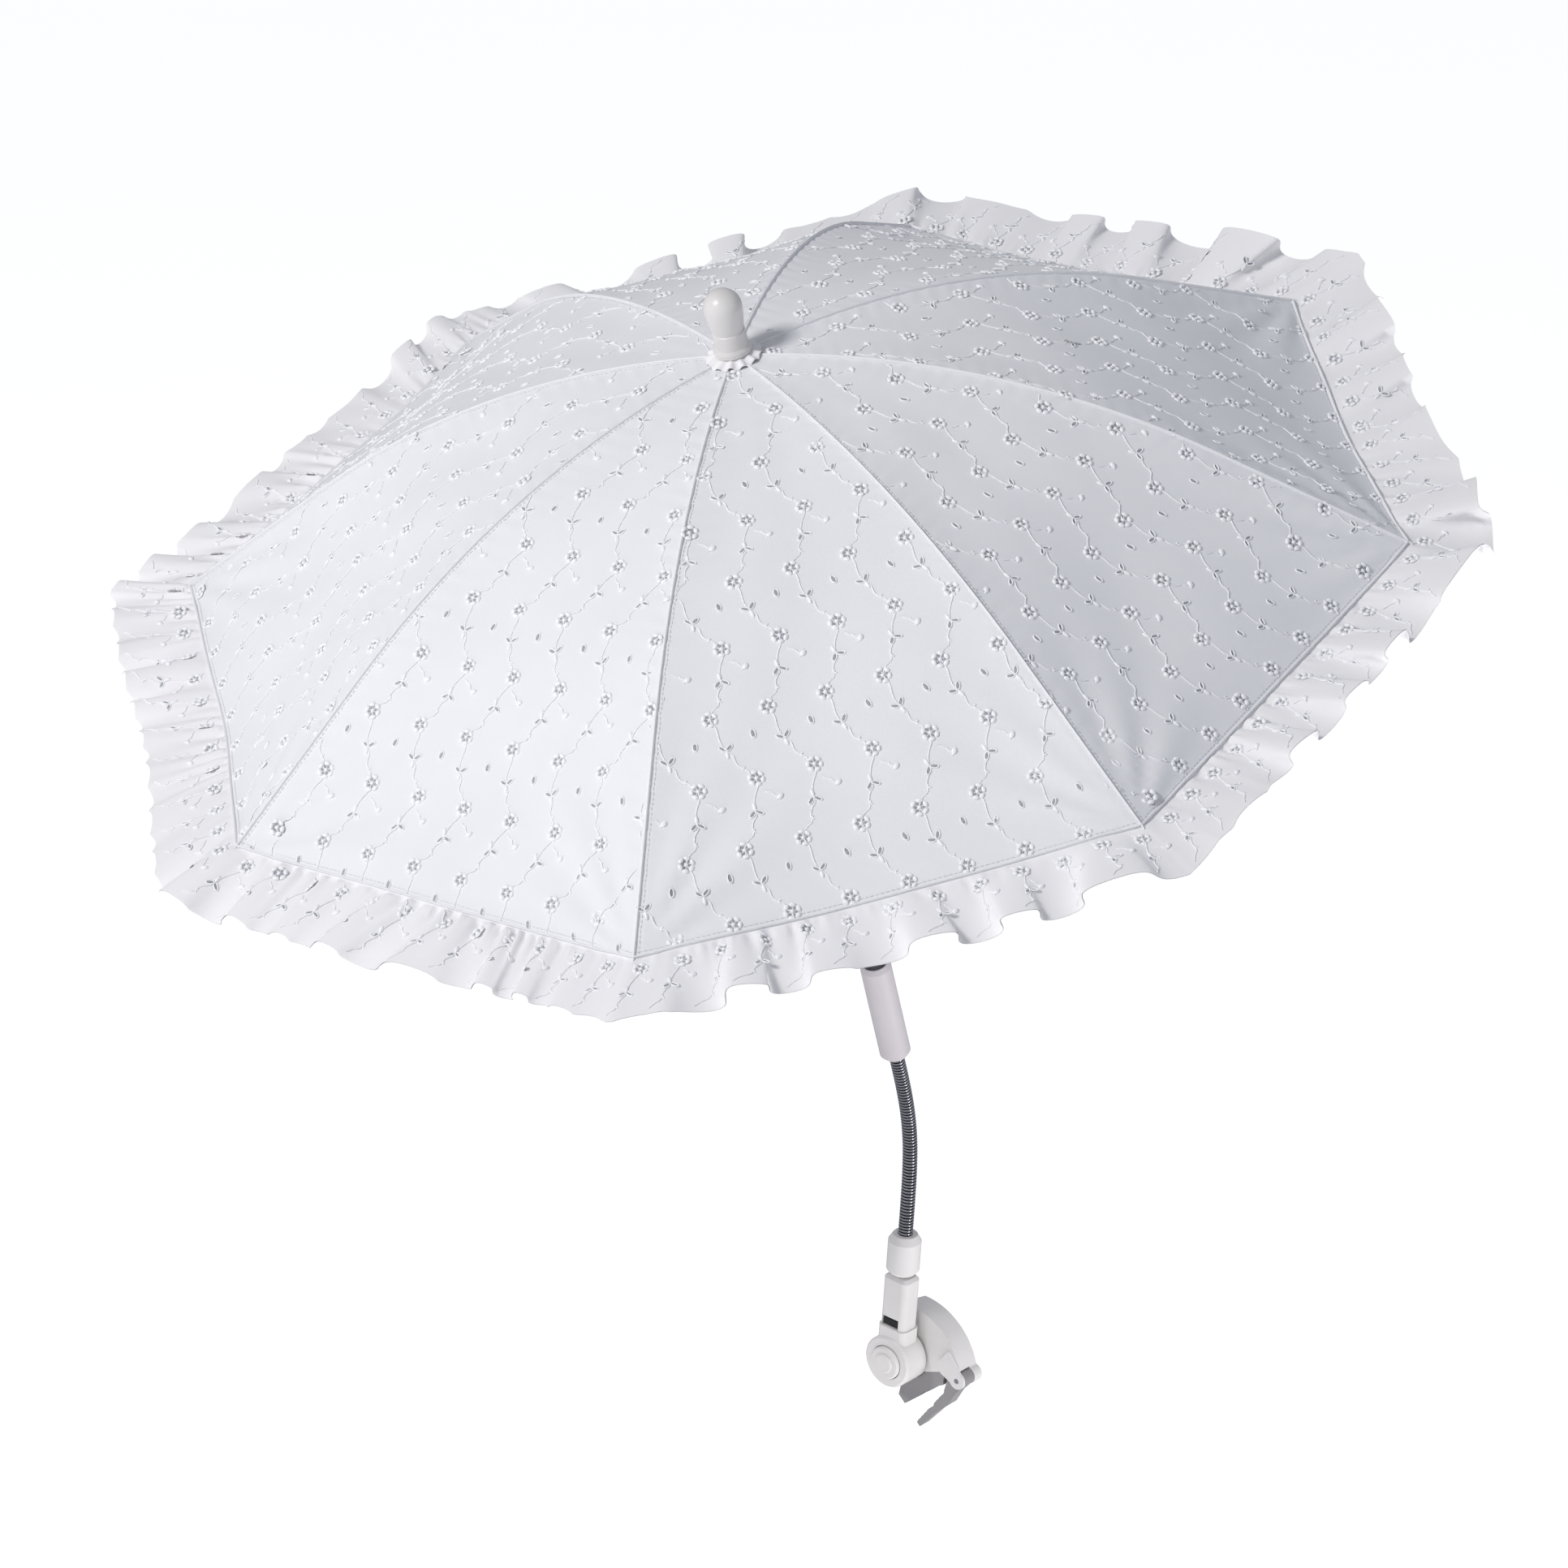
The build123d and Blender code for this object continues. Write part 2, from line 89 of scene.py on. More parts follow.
# ------------------------------------------------------------------ where the canopy stands
# The eight ribs hinge on a crown round the shaft.  Their hinge pins give the shaft's direction
# and each rib's own direction, and every cloth piece is built on these.
hinges = {j["name"]: j for j in frame["joints"]}
rib_count = 8
tip_reach = 0.330
crown_height = 0.124827
pins = [np.array(hinges[f"rib_fold_{k}"]["axis"], float) for k in range(1, rib_count + 1)]
pivots = [np.array(hinges[f"rib_fold_{k}"]["pos_m"], float) for k in range(1, rib_count + 1)]
up = np.cross(pins[0], pins[1])
up /= np.linalg.norm(up)
out = [np.cross(pin, up) for pin in pins]
rim_centre = sum(pivots) / rib_count - crown_height * up

# ------------------------------------------------------------------ camera
# A long lens a little above the canopy's rim, turned to the front left corner of the clip, so
# that the frill, the top of the canopy and the whole neck are seen at once.
turn, tip_up, distance = math.radians(40), math.radians(22), 3.3667
view_right = Vector((math.cos(turn), math.sin(turn), 0))
view_back = Vector((math.sin(turn) * math.cos(tip_up), -math.cos(turn) * math.cos(tip_up),
                    math.sin(tip_up)))
view_up = view_back.cross(view_right)
lens = bpy.data.cameras.new("camera")
lens.lens, lens.sensor_width = 149.07, 36
lens.clip_end = 60
camera = bpy.data.objects.new("camera", lens)
aim_right, aim_down = 0.0007, 0.1132
camera.location = (Vector(rim_centre) + view_right * aim_right - view_up * aim_down
                   + view_back * distance)
camera.rotation_euler = view_back.to_track_quat("Z", "Y").to_euler()
bpy.context.scene.collection.objects.link(camera)
bpy.context.scene.camera = camera


# ------------------------------------------------------------------ floor and light
# A plain pale studio floor well under the clip, a soft lamp high on the left, a weak cool one on
# the right, a small one low on the right for the neck, and a pale room.  The floor isn't mirrored
# in shiny pieces, so that the plated neck stays dark.
def new_material(name):
    """A node material with one Principled shader, and its two nodes."""
    made = bpy.data.materials.new(name)
    made.use_nodes = True
    shader = made.node_tree.nodes["Principled BSDF"]
    return made, made.node_tree, shader


def new_piece(name, points, faces, material=None, uv=None):
    """A mesh object from its points and faces, with a UV pair for each point."""
    mesh = bpy.data.meshes.new(name)
    mesh.from_pydata([tuple(p) for p in points], [], faces)
    if uv is not None:
        layer = mesh.uv_layers.new(name="UVMap")
        corner = np.zeros(len(mesh.loops), int)
        mesh.loops.foreach_get("vertex_index", corner)
        layer.data.foreach_set("uv", np.asarray(uv, np.float32)[corner].ravel())
    mesh.shade_smooth()
    if material:
        mesh.materials.append(material)
    piece = bpy.data.objects.new(name, mesh)
    bpy.context.scene.collection.objects.link(piece)
    return piece


floor_drop, floor_half, floor_glow = 0.85, 16.0, 0.66
floor_z = cad_box[0][2] - floor_drop
floor_paint, tree, shader = new_material("floor_paint")
speckle = tree.nodes.new("ShaderNodeTexNoise")
speckle.inputs["Scale"].default_value = 3
place = tree.nodes.new("ShaderNodeTexCoord")
tree.links.new(place.outputs["Object"], speckle.inputs["Vector"])
tone = tree.nodes.new("ShaderNodeMix")
tone.data_type = "RGBA"
tone.inputs["A"].default_value = (0.90, 0.90, 0.90, 1)
tone.inputs["B"].default_value = (0.92, 0.92, 0.92, 1)
tree.links.new(speckle.outputs["Fac"], tone.inputs["Factor"])
tree.links.new(tone.outputs["Result"], shader.inputs["Base Color"])
shader.inputs["Roughness"].default_value = 0.9
shader.inputs["Emission Color"].default_value = (1, 1, 1, 1)
shader.inputs["Emission Strength"].default_value = floor_glow
floor = new_piece("floor", [(x * floor_half, y * floor_half, floor_z)
                            for x, y in ((-1, -1), (1, -1), (1, 1), (-1, 1))],
                  [(0, 1, 2, 3)], floor_paint)
floor.visible_glossy = False


def soft_lamp(name, place, aim, size, power, tint):
    """A round soft lamp, unseen by the camera, that points at a place."""
    lamp = bpy.data.lights.new(name, "AREA")
    lamp.shape, lamp.size, lamp.energy, lamp.color = "DISK", size, power, tint
    stand = bpy.data.objects.new(name, lamp)
    stand.location = place
    stand.rotation_euler = (Vector(place) - Vector(aim)).to_track_quat("Z", "Y").to_euler()
    stand.visible_camera = False
    bpy.context.scene.collection.objects.link(stand)


canopy_middle = Vector(rim_centre)
neck_middle = Vector([(low + high) / 2 for low, high in zip(*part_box("neck_link_3"))])
# name, what it lights, places to the right, back and up from there, size, power, colour
lamps = [("key_lamp", canopy_middle, -2.3, 1.9, 1.5, 0.9, 78, (1.0, 0.99, 0.985)),
         ("cool_lamp", canopy_middle, 2.4, 1.0, 1.0, 1.6, 4, (0.78, 0.86, 1.0)),
         ("neck_lamp", neck_middle, 0.85, 0.75, -0.55, 0.30, 5.0, (1.0, 0.99, 0.98))]
for name, lit, right, back, above, size, power, tint in lamps:
    soft_lamp(name, lit + view_right * right + view_back * back + Vector((0, 0, above)), lit,
              size, power, tint)
room_colour, room_strength = (0.88, 0.92, 1.0, 1), 0.35
room = bpy.data.worlds.new("room")
room.use_nodes = True
backdrop = room.node_tree.nodes["Background"]
backdrop.inputs["Color"].default_value = room_colour
backdrop.inputs["Strength"].default_value = room_strength
bpy.context.scene.world = room
bpy.context.scene.view_settings.view_transform = "Standard"


# ------------------------------------------------------------------ white moulded parts
# Clip body, tilting knuckle, push button, collar, sleeve, ferrule, crown and runner are injection
# moulded in one warm white plastic.  Pins, screws and snap fits hold them, and they keep the
# satin skin of the mould, with faint flow marks and a little dirt from handling.
def shader_group(name, inputs, outputs):
    """An empty node group with these named sockets, and its two end nodes."""
    group = bpy.data.node_groups.new(name, "ShaderNodeTree")
    for side, sockets in (("INPUT", inputs), ("OUTPUT", outputs)):
        for label, kind, value in sockets:
            socket = group.interface.new_socket(name=label, in_out=side, socket_type=kind)
            if value is not None:
                socket.default_value = value
    return group, group.nodes.new("NodeGroupInput"), group.nodes.new("NodeGroupOutput")


def maths(group, what, a, b=None):
    """A Math node on two values or sockets."""
    node = group.nodes.new("ShaderNodeMath")
    node.operation = what
    for socket, value in zip(node.inputs, (a, b)):
        if value is None:
            continue
        if isinstance(value, (int, float)):
            socket.default_value = value
        else:
            group.links.new(value, socket)
    return node.outputs[0]


def mixed(group, share, a, b):
    """A colour between two colours or colour sockets."""
    node = group.nodes.new("ShaderNodeMix")
    node.data_type = "RGBA"
    for label, value in (("Factor", share), ("A", a), ("B", b)):
        if isinstance(value, (int, float, tuple)):
            node.inputs[label].default_value = value
        else:
            group.links.new(value, node.inputs[label])
    return node.outputs["Result"]


def noise(group, place, scale, detail=2.0):
    node = group.nodes.new("ShaderNodeTexNoise")
    node.inputs["Scale"].default_value = scale
    node.inputs["Detail"].default_value = detail
    group.links.new(place, node.inputs["Vector"])
    return node.outputs["Fac"]


colour, number = "NodeSocketColor", "NodeSocketFloat"
skin, given, made = shader_group(
    "mould_skin",
    [("Base", colour, (0.8, 0.8, 0.8, 1)), ("Handled", colour, (0.7, 0.68, 0.64, 1)),
     ("Gloss", number, 0.35), ("Grain", number, 1400.0)],
    [("Colour", colour, None), ("Roughness", number, None), ("Height", number, None)])
spot = skin.nodes.new("ShaderNodeTexCoord").outputs["Object"]
clouds = noise(skin, spot, 55, 4)
fine = skin.nodes.new("ShaderNodeTexNoise")
fine.inputs["Detail"].default_value = 1
skin.links.new(given.outputs["Grain"], fine.inputs["Scale"])
skin.links.new(spot, fine.inputs["Vector"])
dirt = maths(skin, "MULTIPLY", maths(skin, "POWER", clouds, 3.0), 1.1)
skin.links.new(mixed(skin, dirt, given.outputs["Base"], given.outputs["Handled"]),
               made.inputs["Colour"])
skin.links.new(maths(skin, "ADD", given.outputs["Gloss"],
                     maths(skin, "MULTIPLY", maths(skin, "SUBTRACT", clouds, 0.5), 0.22)),
               made.inputs["Roughness"])
skin.links.new(maths(skin, "ADD", fine.outputs["Fac"], maths(skin, "MULTIPLY", clouds, 0.6)),
               made.inputs["Height"])


def skinned(name, group, values, bump, depth, metal=0.0, coat=0.0):
    """A material whose colour, roughness and height come from a group with these values."""
    made, tree, shader = new_material(name)
    effect = tree.nodes.new("ShaderNodeGroup")
    effect.node_tree = group
    for label, value in values.items():
        effect.inputs[label].default_value = value
    relief = tree.nodes.new("ShaderNodeBump")
    relief.inputs["Strength"].default_value = bump
    relief.inputs["Distance"].default_value = depth
    tree.links.new(effect.outputs["Height"], relief.inputs["Height"])
    tree.links.new(relief.outputs["Normal"], shader.inputs["Normal"])
    tree.links.new(effect.outputs["Colour"], shader.inputs["Base Color"])
    tree.links.new(effect.outputs["Roughness"], shader.inputs["Roughness"])
    shader.inputs["Metallic"].default_value = metal
    shader.inputs["Coat Weight"].default_value = coat
    return made


def dress(nodes, material):
    """Give CAD nodes this material in place of their plain one."""
    for name in nodes:
        slots = frame["nodes"][name].material_slots
        for slot in slots:
            slot.material = material


white_plastic = skinned("white_plastic", skin,
                        {"Base": (0.75, 0.728, 0.722, 1), "Handled": (0.62, 0.58, 0.54, 1),
                         "Gloss": 0.34, "Grain": 1500.0}, 0.22, 0.0002, coat=0.15)
dress(["clip_body", "knuckle", "push_button", "lower_collar", "ferrule", "crown", "runner"],
      white_plastic)
sleeve_plastic = skinned("sleeve_plastic", skin,
                         {"Base": (0.56, 0.525, 0.55, 1), "Handled": (0.48, 0.44, 0.45, 1),
                          "Gloss": 0.42, "Grain": 1100.0}, 0.25, 0.0002)
dress(["sleeve"], sleeve_plastic)
tip_plastic = skinned("tip_plastic", skin,
                      {"Base": (0.84, 0.83, 0.82, 1), "Handled": (0.7, 0.67, 0.63, 1),
                       "Gloss": 0.3, "Grain": 2200.0}, 0.2, 0.0001)
dress([f"rib_tip_{k}" for k in range(1, rib_count + 1)], tip_plastic)

# ------------------------------------------------------------------ grips and latch
# The two toothed grips are a softer grey moulding pressed onto the clip's arm and lower jaw, and
# the stem latch is a small black tongue behind the window in the knuckle.
grip_rubber = skinned("grip_rubber", skin,
                      {"Base": (0.27, 0.26, 0.27, 1), "Handled": (0.36, 0.34, 0.34, 1),
                       "Gloss": 0.55, "Grain": 900.0}, 0.4, 0.0003)
dress(["upper_grip", "lower_jaw"], grip_rubber)
black_latch = skinned("black_latch", skin,
                      {"Base": (0.018, 0.018, 0.02, 1), "Handled": (0.05, 0.05, 0.05, 1),
                       "Gloss": 0.3, "Grain": 1300.0}, 0.2, 0.0002)
dress(["stem_latch"], black_latch)

# ------------------------------------------------------------------ steel parts
# Shaft, ribs, stretchers, wires, springs and pins are drawn or rolled steel with a thin plating,
# so they show fine drawing lines, a few duller clouds and small dark pits.
plate, given, made = shader_group(
    "drawn_steel",
    [("Base", colour, (0.6, 0.6, 0.62, 1)), ("Dull", colour, (0.4, 0.39, 0.38, 1)),
     ("Gloss", number, 0.25)],
    [("Colour", colour, None), ("Roughness", number, None), ("Height", number, None)])
spot = plate.nodes.new("ShaderNodeTexCoord").outputs["Object"]
clouds = noise(plate, spot, 90, 3)
pits = noise(plate, spot, 2600, 1)
plate.links.new(mixed(plate, maths(plate, "POWER", clouds, 2.2), given.outputs["Base"],
                      given.outputs["Dull"]), made.inputs["Colour"])
plate.links.new(maths(plate, "ADD", given.outputs["Gloss"],
                      maths(plate, "MULTIPLY", clouds, 0.2)), made.inputs["Roughness"])
plate.links.new(pits, made.inputs["Height"])
shaft_steel = skinned("shaft_steel", plate,
                      {"Base": (0.72, 0.72, 0.74, 1), "Dull": (0.5, 0.5, 0.5, 1), "Gloss": 0.2},
                      0.1, 0.0001, metal=1.0)
dress(["shaft", "tilt_axle", "jaw_pin", "catch_spring", "crown_wire", "runner_wire",
       "jaw_spring", "button_spring"], shaft_steel)
rib_steel = skinned("rib_steel", plate,
                    {"Base": (0.55, 0.56, 0.58, 1), "Dull": (0.36, 0.36, 0.37, 1),
                     "Gloss": 0.3}, 0.2, 0.0001, metal=1.0)
dress([f"{part}_{k}" for part in ("rib", "stretcher") for k in range(1, rib_count + 1)],
      rib_steel)


# ------------------------------------------------------------------ bendable neck
# A gooseneck: a steel strip wound into close rounded rings over a core, pushed into the
# collar below and into the sleeve above.  The core is near-black, which paints the shade in the
# gaps between the rings.  It is cut here at the middle of each link, one length about each of
# the seven hinges.
def geometry_group(name, inputs):
    """A geometry tree with these named inputs after its geometry, and its two end nodes."""
    group = bpy.data.node_groups.new(name, "GeometryNodeTree")
    group.interface.new_socket(name="Geometry", in_out="INPUT", socket_type="NodeSocketGeometry")
    for label, kind, value in inputs:
        socket = group.interface.new_socket(name=label, in_out="INPUT", socket_type=kind)
        if value is not None:
            socket.default_value = value
    group.interface.new_socket(name="Geometry", in_out="OUTPUT",
                               socket_type="NodeSocketGeometry")
    return group, group.nodes.new("NodeGroupInput"), group.nodes.new("NodeGroupOutput")


def step(group, kind, links=(), ways=(), **values):
    """A node with its ways of working chosen, some sockets linked and others set."""
    node = group.nodes.new(kind)
    for label, choice in ways:
        setattr(node, label, choice)
    for label, value in values.items():
        node.inputs[label.replace("_", " ")].default_value = value
    for label, source in links:
        group.links.new(source, node.inputs[label])
    return node


def join_up(group, made, *parts):
    """Put out several parts of a tree together."""
    both = step(group, "GeometryNodeJoinGeometry")
    for part in parts:
        group.links.new(part.outputs[0], both.inputs[0])
    group.links.new(both.outputs[0], made.inputs[0])


def read_field(group, label, kind):
    """A named attribute of the points that a tree is given."""
    node = group.nodes.new("GeometryNodeInputNamedAttribute")
    node.data_type = kind
    node.inputs["Name"].default_value = label
    return node.outputs["Attribute"]


def grown(name, group, points, edges, values, attributes=()):
    """Run a tree on a mesh of points and edges, and return what it makes as a plain mesh."""
    mesh = bpy.data.meshes.new(name + "_path")
    mesh.from_pydata([tuple(p) for p in points], edges, [])
    for label, kind, data in attributes:
        layer = mesh.attributes.new(label, kind, "POINT")
        layer.data.foreach_set("vector" if kind == "FLOAT_VECTOR" else "value",
                               np.asarray(data).ravel())
    holder = bpy.data.objects.new(name + "_path", mesh)
    bpy.context.scene.collection.objects.link(holder)
    builder = holder.modifiers.new("build", "NODES")
    builder.node_group = group
    for item in group.interface.items_tree:
        if item.item_type == "SOCKET" and item.in_out == "INPUT" and item.name in values:
            builder[item.identifier] = values[item.name]
    looked = holder.evaluated_get(bpy.context.evaluated_depsgraph_get())
    piece = bpy.data.objects.new(name, bpy.data.meshes.new_from_object(looked))
    piece.data.name = name
    bpy.context.scene.collection.objects.link(piece)
    bpy.data.objects.remove(holder)
    return piece


metres, stuff = "NodeSocketFloat", "NodeSocketMaterial"
hose, given, made = geometry_group(
    "wound_neck", [("Pitch", metres, 0.0019), ("Ring Radius", metres, 0.0036),
                   ("Wire Radius", metres, 0.00062), ("Core Radius", metres, 0.0031),
                   ("Steel", stuff, None), ("Core", stuff, None)])
path = step(hose, "GeometryNodeMeshToCurve", [("Mesh", given.outputs["Geometry"])])
spaced = step(hose, "GeometryNodeCurveToPoints", [("Curve", path.outputs[0]),
                                                  ("Length", given.outputs["Pitch"])],
              [("mode", "LENGTH")])
ring_line = step(hose, "GeometryNodeCurvePrimitiveCircle",
                 [("Radius", given.outputs["Ring Radius"])], Resolution=40)
wire_line = step(hose, "GeometryNodeCurvePrimitiveCircle",
                 [("Radius", given.outputs["Wire Radius"])], Resolution=10)
ring = step(hose, "GeometryNodeCurveToMesh", [("Curve", ring_line.outputs["Curve"]),
                                              ("Profile Curve", wire_line.outputs["Curve"])])
rings = step(hose, "GeometryNodeInstanceOnPoints",
             [("Points", spaced.outputs["Points"]), ("Instance", ring.outputs["Mesh"]),
              ("Rotation", spaced.outputs["Rotation"])])
real = step(hose, "GeometryNodeRealizeInstances", [("Geometry", rings.outputs[0])])
plated = step(hose, "GeometryNodeSetMaterial", [("Geometry", real.outputs[0]),
                                                ("Material", given.outputs["Steel"])])
core_line = step(hose, "GeometryNodeCurvePrimitiveCircle",
                 [("Radius", given.outputs["Core Radius"])], Resolution=20)
core = step(hose, "GeometryNodeCurveToMesh", [("Curve", path.outputs[0]),
                                              ("Profile Curve", core_line.outputs["Curve"])],
            Fill_Caps=True)
cored = step(hose, "GeometryNodeSetMaterial", [("Geometry", core.outputs[0]),
                                               ("Material", given.outputs["Core"])])
join_up(hose, made, cored, plated)

neck_steel = skinned("neck_steel", plate,
                     {"Base": (0.48, 0.48, 0.51, 1), "Dull": (0.24, 0.24, 0.26, 1),
                      "Gloss": 0.12}, 0.1, 0.0001, metal=1.0)
# The core's near-black colour is painted shade: it darkens the gaps between the rings.
neck_gap_shade = skinned("neck_gap_shade", skin,
                    {"Base": (0.015, 0.015, 0.017, 1), "Handled": (0.04, 0.04, 0.04, 1),
                     "Gloss": 0.5, "Grain": 900.0}, 0.2, 0.0002)
bends = [np.array(hinges[f"neck_bend_{k}"]["pos_m"], float) for k in range(1, 8)]
stem = np.array(hinges["stem_release"]["axis"], float)
rings_per_link, rings_below, rings_above = 10, 4.5, 5
ring_pitch = np.linalg.norm(bends[1] - bends[0]) / rings_per_link
marks = ([bends[0] - stem * ring_pitch * rings_below]
         + [(a + b) / 2 for a, b in zip(bends, bends[1:])]
         + [bends[-1] + up * ring_pitch * rings_above])
neck_nodes = ["neck_root"] + [f"neck_link_{k}" for k in range(1, 7)] + ["neck_end"]
bow_points, snug = 41, 0.9999


def neck_line(k, start, end):
    """Points of the neck's line about bend k, from one share of it to another, and its length."""
    s = np.linspace(start, end, bow_points)[:, None]
    line = marks[k] * (1 - s) ** 2 + 2 * bends[k] * s * (1 - s) + marks[k + 1] * s ** 2
    return line, np.linalg.norm(np.diff(line, axis=0), axis=1).sum()


for k in range(len(bends)):
    count = max(1, round(neck_line(k, 0, 1)[1] / ring_pitch))
    inset = 0.5 / count
    line, span = neck_line(k, inset, 1 - inset)
    tube = grown(f"neck_hose_{k + 1}", hose, line, [(i, i + 1) for i in range(bow_points - 1)],
                 {"Pitch": float(span / (count - 1) * snug), "Steel": neck_steel,
                  "Core": neck_gap_shade})
    tube.data.shade_smooth()
    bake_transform(tube)
    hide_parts(*([neck_nodes[0], neck_nodes[1]] if k == 0 else [neck_nodes[k + 1]]))

# ------------------------------------------------------------------ canopy cloth
# Eight gores of thin white cotton, embroidered and pierced, sewn edge to edge and stretched
# over the ribs: curved along each rib, hollow between the ribs, puckered beside the seams.  Each
# piece here is the cloth that goes with one rib, to the middle of the gores on its two sides.
dome_top, dome_radius, shoulder = 0.1294, 0.441, math.radians(33)
cloth_thickness = 0.00035
hollow_depth, roll_depth, pucker_depth, drag_depth = 0.0052, 0.0011, 0.00042, 0.0013
half_gore = math.pi / rib_count
rng = np.random.default_rng(11)
swell = rng.uniform(0, 2 * math.pi, (rib_count, 12))


def seam_height(reach):
    """Height of a seam over the plane of the rib tips."""
    edge = dome_radius * math.sin(shoulder)
    arc = np.sqrt(np.maximum(dome_radius ** 2 - np.minimum(reach, edge) ** 2, 0))
    return (dome_top - dome_radius + arc
            - np.maximum(reach - edge, 0) * math.tan(shoulder))


def gore_point(k, reach, share):
    """Points of the cloth of rib k (from 0): reach along the seam, share -1 to 1 across it."""
    reach, share = np.broadcast_arrays(np.asarray(reach, float), np.asarray(share, float))
    side = np.where(share < 0, -1, 1)
    here = out[k]
    there = np.where(side[..., None] < 0, out[k - 1], out[(k + 1) % rib_count])
    s = np.abs(share) / 2
    spread = here * (1 - s[..., None]) + there * s[..., None]
    slope = np.minimum(reach / 0.42, 0.65)[..., None]
    middle = here + there
    face = up + slope * middle / np.linalg.norm(middle, axis=-1, keepdims=True)
    face /= np.linalg.norm(face, axis=-1, keepdims=True)
    part = reach / tip_reach
    gore = np.where(side < 0, k, (k + 1) % rib_count)
    wave = swell[gore]
    apart = s * 2 * reach * math.sin(half_gore)
    across = np.where(side < 0, 1 - s * 2, s * 2 - 1)
    hollow = hollow_depth * part ** 1.2 * 4 * s * (1 - s)
    rolling = roll_depth * part * 4 * s * (1 - s) * (
        np.sin(reach * 62 + wave[..., 0] + across * 2.2)
        + 0.7 * np.sin(reach * 31 + wave[..., 1] - across * 3.1 * part)
        + 0.6 * np.sin(across * 7 + wave[..., 2] + reach * 18))
    pucker = pucker_depth * np.exp(-apart / 0.009) * np.clip(apart / 0.002, 0, 1) * (
        np.sin(reach * 2 * math.pi / 0.0105 + wave[..., 3])
        + 0.5 * np.sin(reach * 2 * math.pi / 0.0067 + wave[..., 4]))
    tip_gap = np.hypot(tip_reach - reach, apart)
    fan = np.arctan2(apart, np.maximum(tip_reach - reach, 1e-4))
    drag = drag_depth * np.exp(-(tip_gap / 0.075) ** 2) * np.clip(tip_gap / 0.02, 0, 1) * np.sin(
        fan * 11 + wave[..., 5]) * np.clip(s * 12, 0, 1) * np.clip(2 - s * 4, 0, 1)
    depth = -hollow + rolling + pucker + drag
    return (rim_centre + spread * reach[..., None] + up * seam_height(reach)[..., None]
            + face * depth[..., None])


def grid_faces(rows, columns):
    """Quads over a grid of points stored row by row."""
    first = (np.arange(rows - 1)[:, None] * columns + np.arange(columns - 1)).ravel()
    return [(a, a + columns, a + columns + 1, a + 1) for a in first.tolist()]


def fold_with(piece, k):
    """Move a cloth piece with rib k, with a mesh of its own."""
    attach(piece, f"rib_{k + 1}")
    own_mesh(piece)


weave, given, made = shader_group(
    "cotton_weave",
    [("Base", colour, (0.86, 0.86, 0.88, 1)), ("Shade", colour, (0.78, 0.78, 0.81, 1)),
     ("Thread Pitch", number, 0.0006), ("Slub", number, 0.5)],
    [("Colour", colour, None), ("Roughness", number, None), ("Height", number, None)])
lay = weave.nodes.new("ShaderNodeUVMap")
lay.uv_map = "UVMap"
parts = weave.nodes.new("ShaderNodeSeparateXYZ")
weave.links.new(lay.outputs["UV"], parts.inputs[0])
thread = maths(weave, "DIVIDE", 2 * math.pi, given.outputs["Thread Pitch"])
warp = maths(weave, "SINE", maths(weave, "MULTIPLY", parts.outputs["X"], thread))
weft = maths(weave, "SINE", maths(weave, "MULTIPLY", parts.outputs["Y"], thread))
spot = weave.nodes.new("ShaderNodeTexCoord").outputs["Object"]
clouds = noise(weave, spot, 26, 3)
slubs = noise(weave, spot, 420, 2)
weave.links.new(mixed(weave, maths(weave, "MULTIPLY", clouds, 0.8), given.outputs["Base"],
                      given.outputs["Shade"]), made.inputs["Colour"])
weave.links.new(maths(weave, "ADD", 0.78, maths(weave, "MULTIPLY", slubs, 0.15)),
                made.inputs["Roughness"])
weave.links.new(maths(weave, "ADD", maths(weave, "MULTIPLY", warp, weft),
                      maths(weave, "MULTIPLY", slubs, given.outputs["Slub"])),
                made.inputs["Height"])
cotton = skinned("cotton", weave,
                 {"Base": (0.865, 0.865, 0.885, 1), "Shade": (0.80, 0.80, 0.83, 1),
                  "Thread Pitch": 0.0007, "Slub": 1.4}, 0.22, 0.00012)
cotton.node_tree.nodes["Principled BSDF"].inputs["Sheen Weight"].default_value = 0.15

shaft_hole = 0.0065
seam_steps = np.linspace(shaft_hole, tip_reach, 118)
seam_shares = np.linspace(-1, 1, 51)
along = np.concatenate([[0], np.cumsum(np.hypot(np.diff(seam_steps),
                                                np.diff(seam_height(seam_steps))))])
rim_width = 2 * tip_reach * math.sin(half_gore)
for k in range(rib_count):
    reach, share = np.meshgrid(seam_steps, seam_shares, indexing="ij")
    points = gore_point(k, reach, share)
    across = share * reach * math.sin(half_gore)
    uv = np.stack([across, np.broadcast_to(along[:, None], across.shape)], -1)
    gore = new_piece(f"gore_cloth_{k + 1}", points.reshape(-1, 3),
                     grid_faces(*reach.shape), cotton, uv.reshape(-1, 2))
    thick = gore.modifiers.new("thickness", "SOLIDIFY")
    thick.thickness, thick.offset, thick.use_rim = cloth_thickness, -1, False
    fold_with(gore, k)
    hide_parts(f"canopy_{k + 1}")

# ------------------------------------------------------------------ seams over the ribs
# Neighbouring gores are joined by a narrow felled seam that stands up over each rib, with a row
# of machine stitches down one side.
tack, given, made = geometry_group(
    "stitched_seam", [("Half Width", metres, 0.0011), ("Stand", metres, 0.00055),
                      ("Stitch Pitch", metres, 0.0026), ("Stitch Radius", metres, 0.00016),
                      ("Stitch Length", metres, 0.0017), ("Side Step", metres, 0.0017),
                      ("Cloth", stuff, None), ("Thread", stuff, None)])
path = step(tack, "GeometryNodeMeshToCurve", [("Mesh", given.outputs["Geometry"])])
bead_line = step(tack, "GeometryNodeCurvePrimitiveCircle",
                 [("Radius", given.outputs["Half Width"])], Resolution=10)
squeeze = step(tack, "ShaderNodeCombineXYZ", X=1.0, Z=1.0)
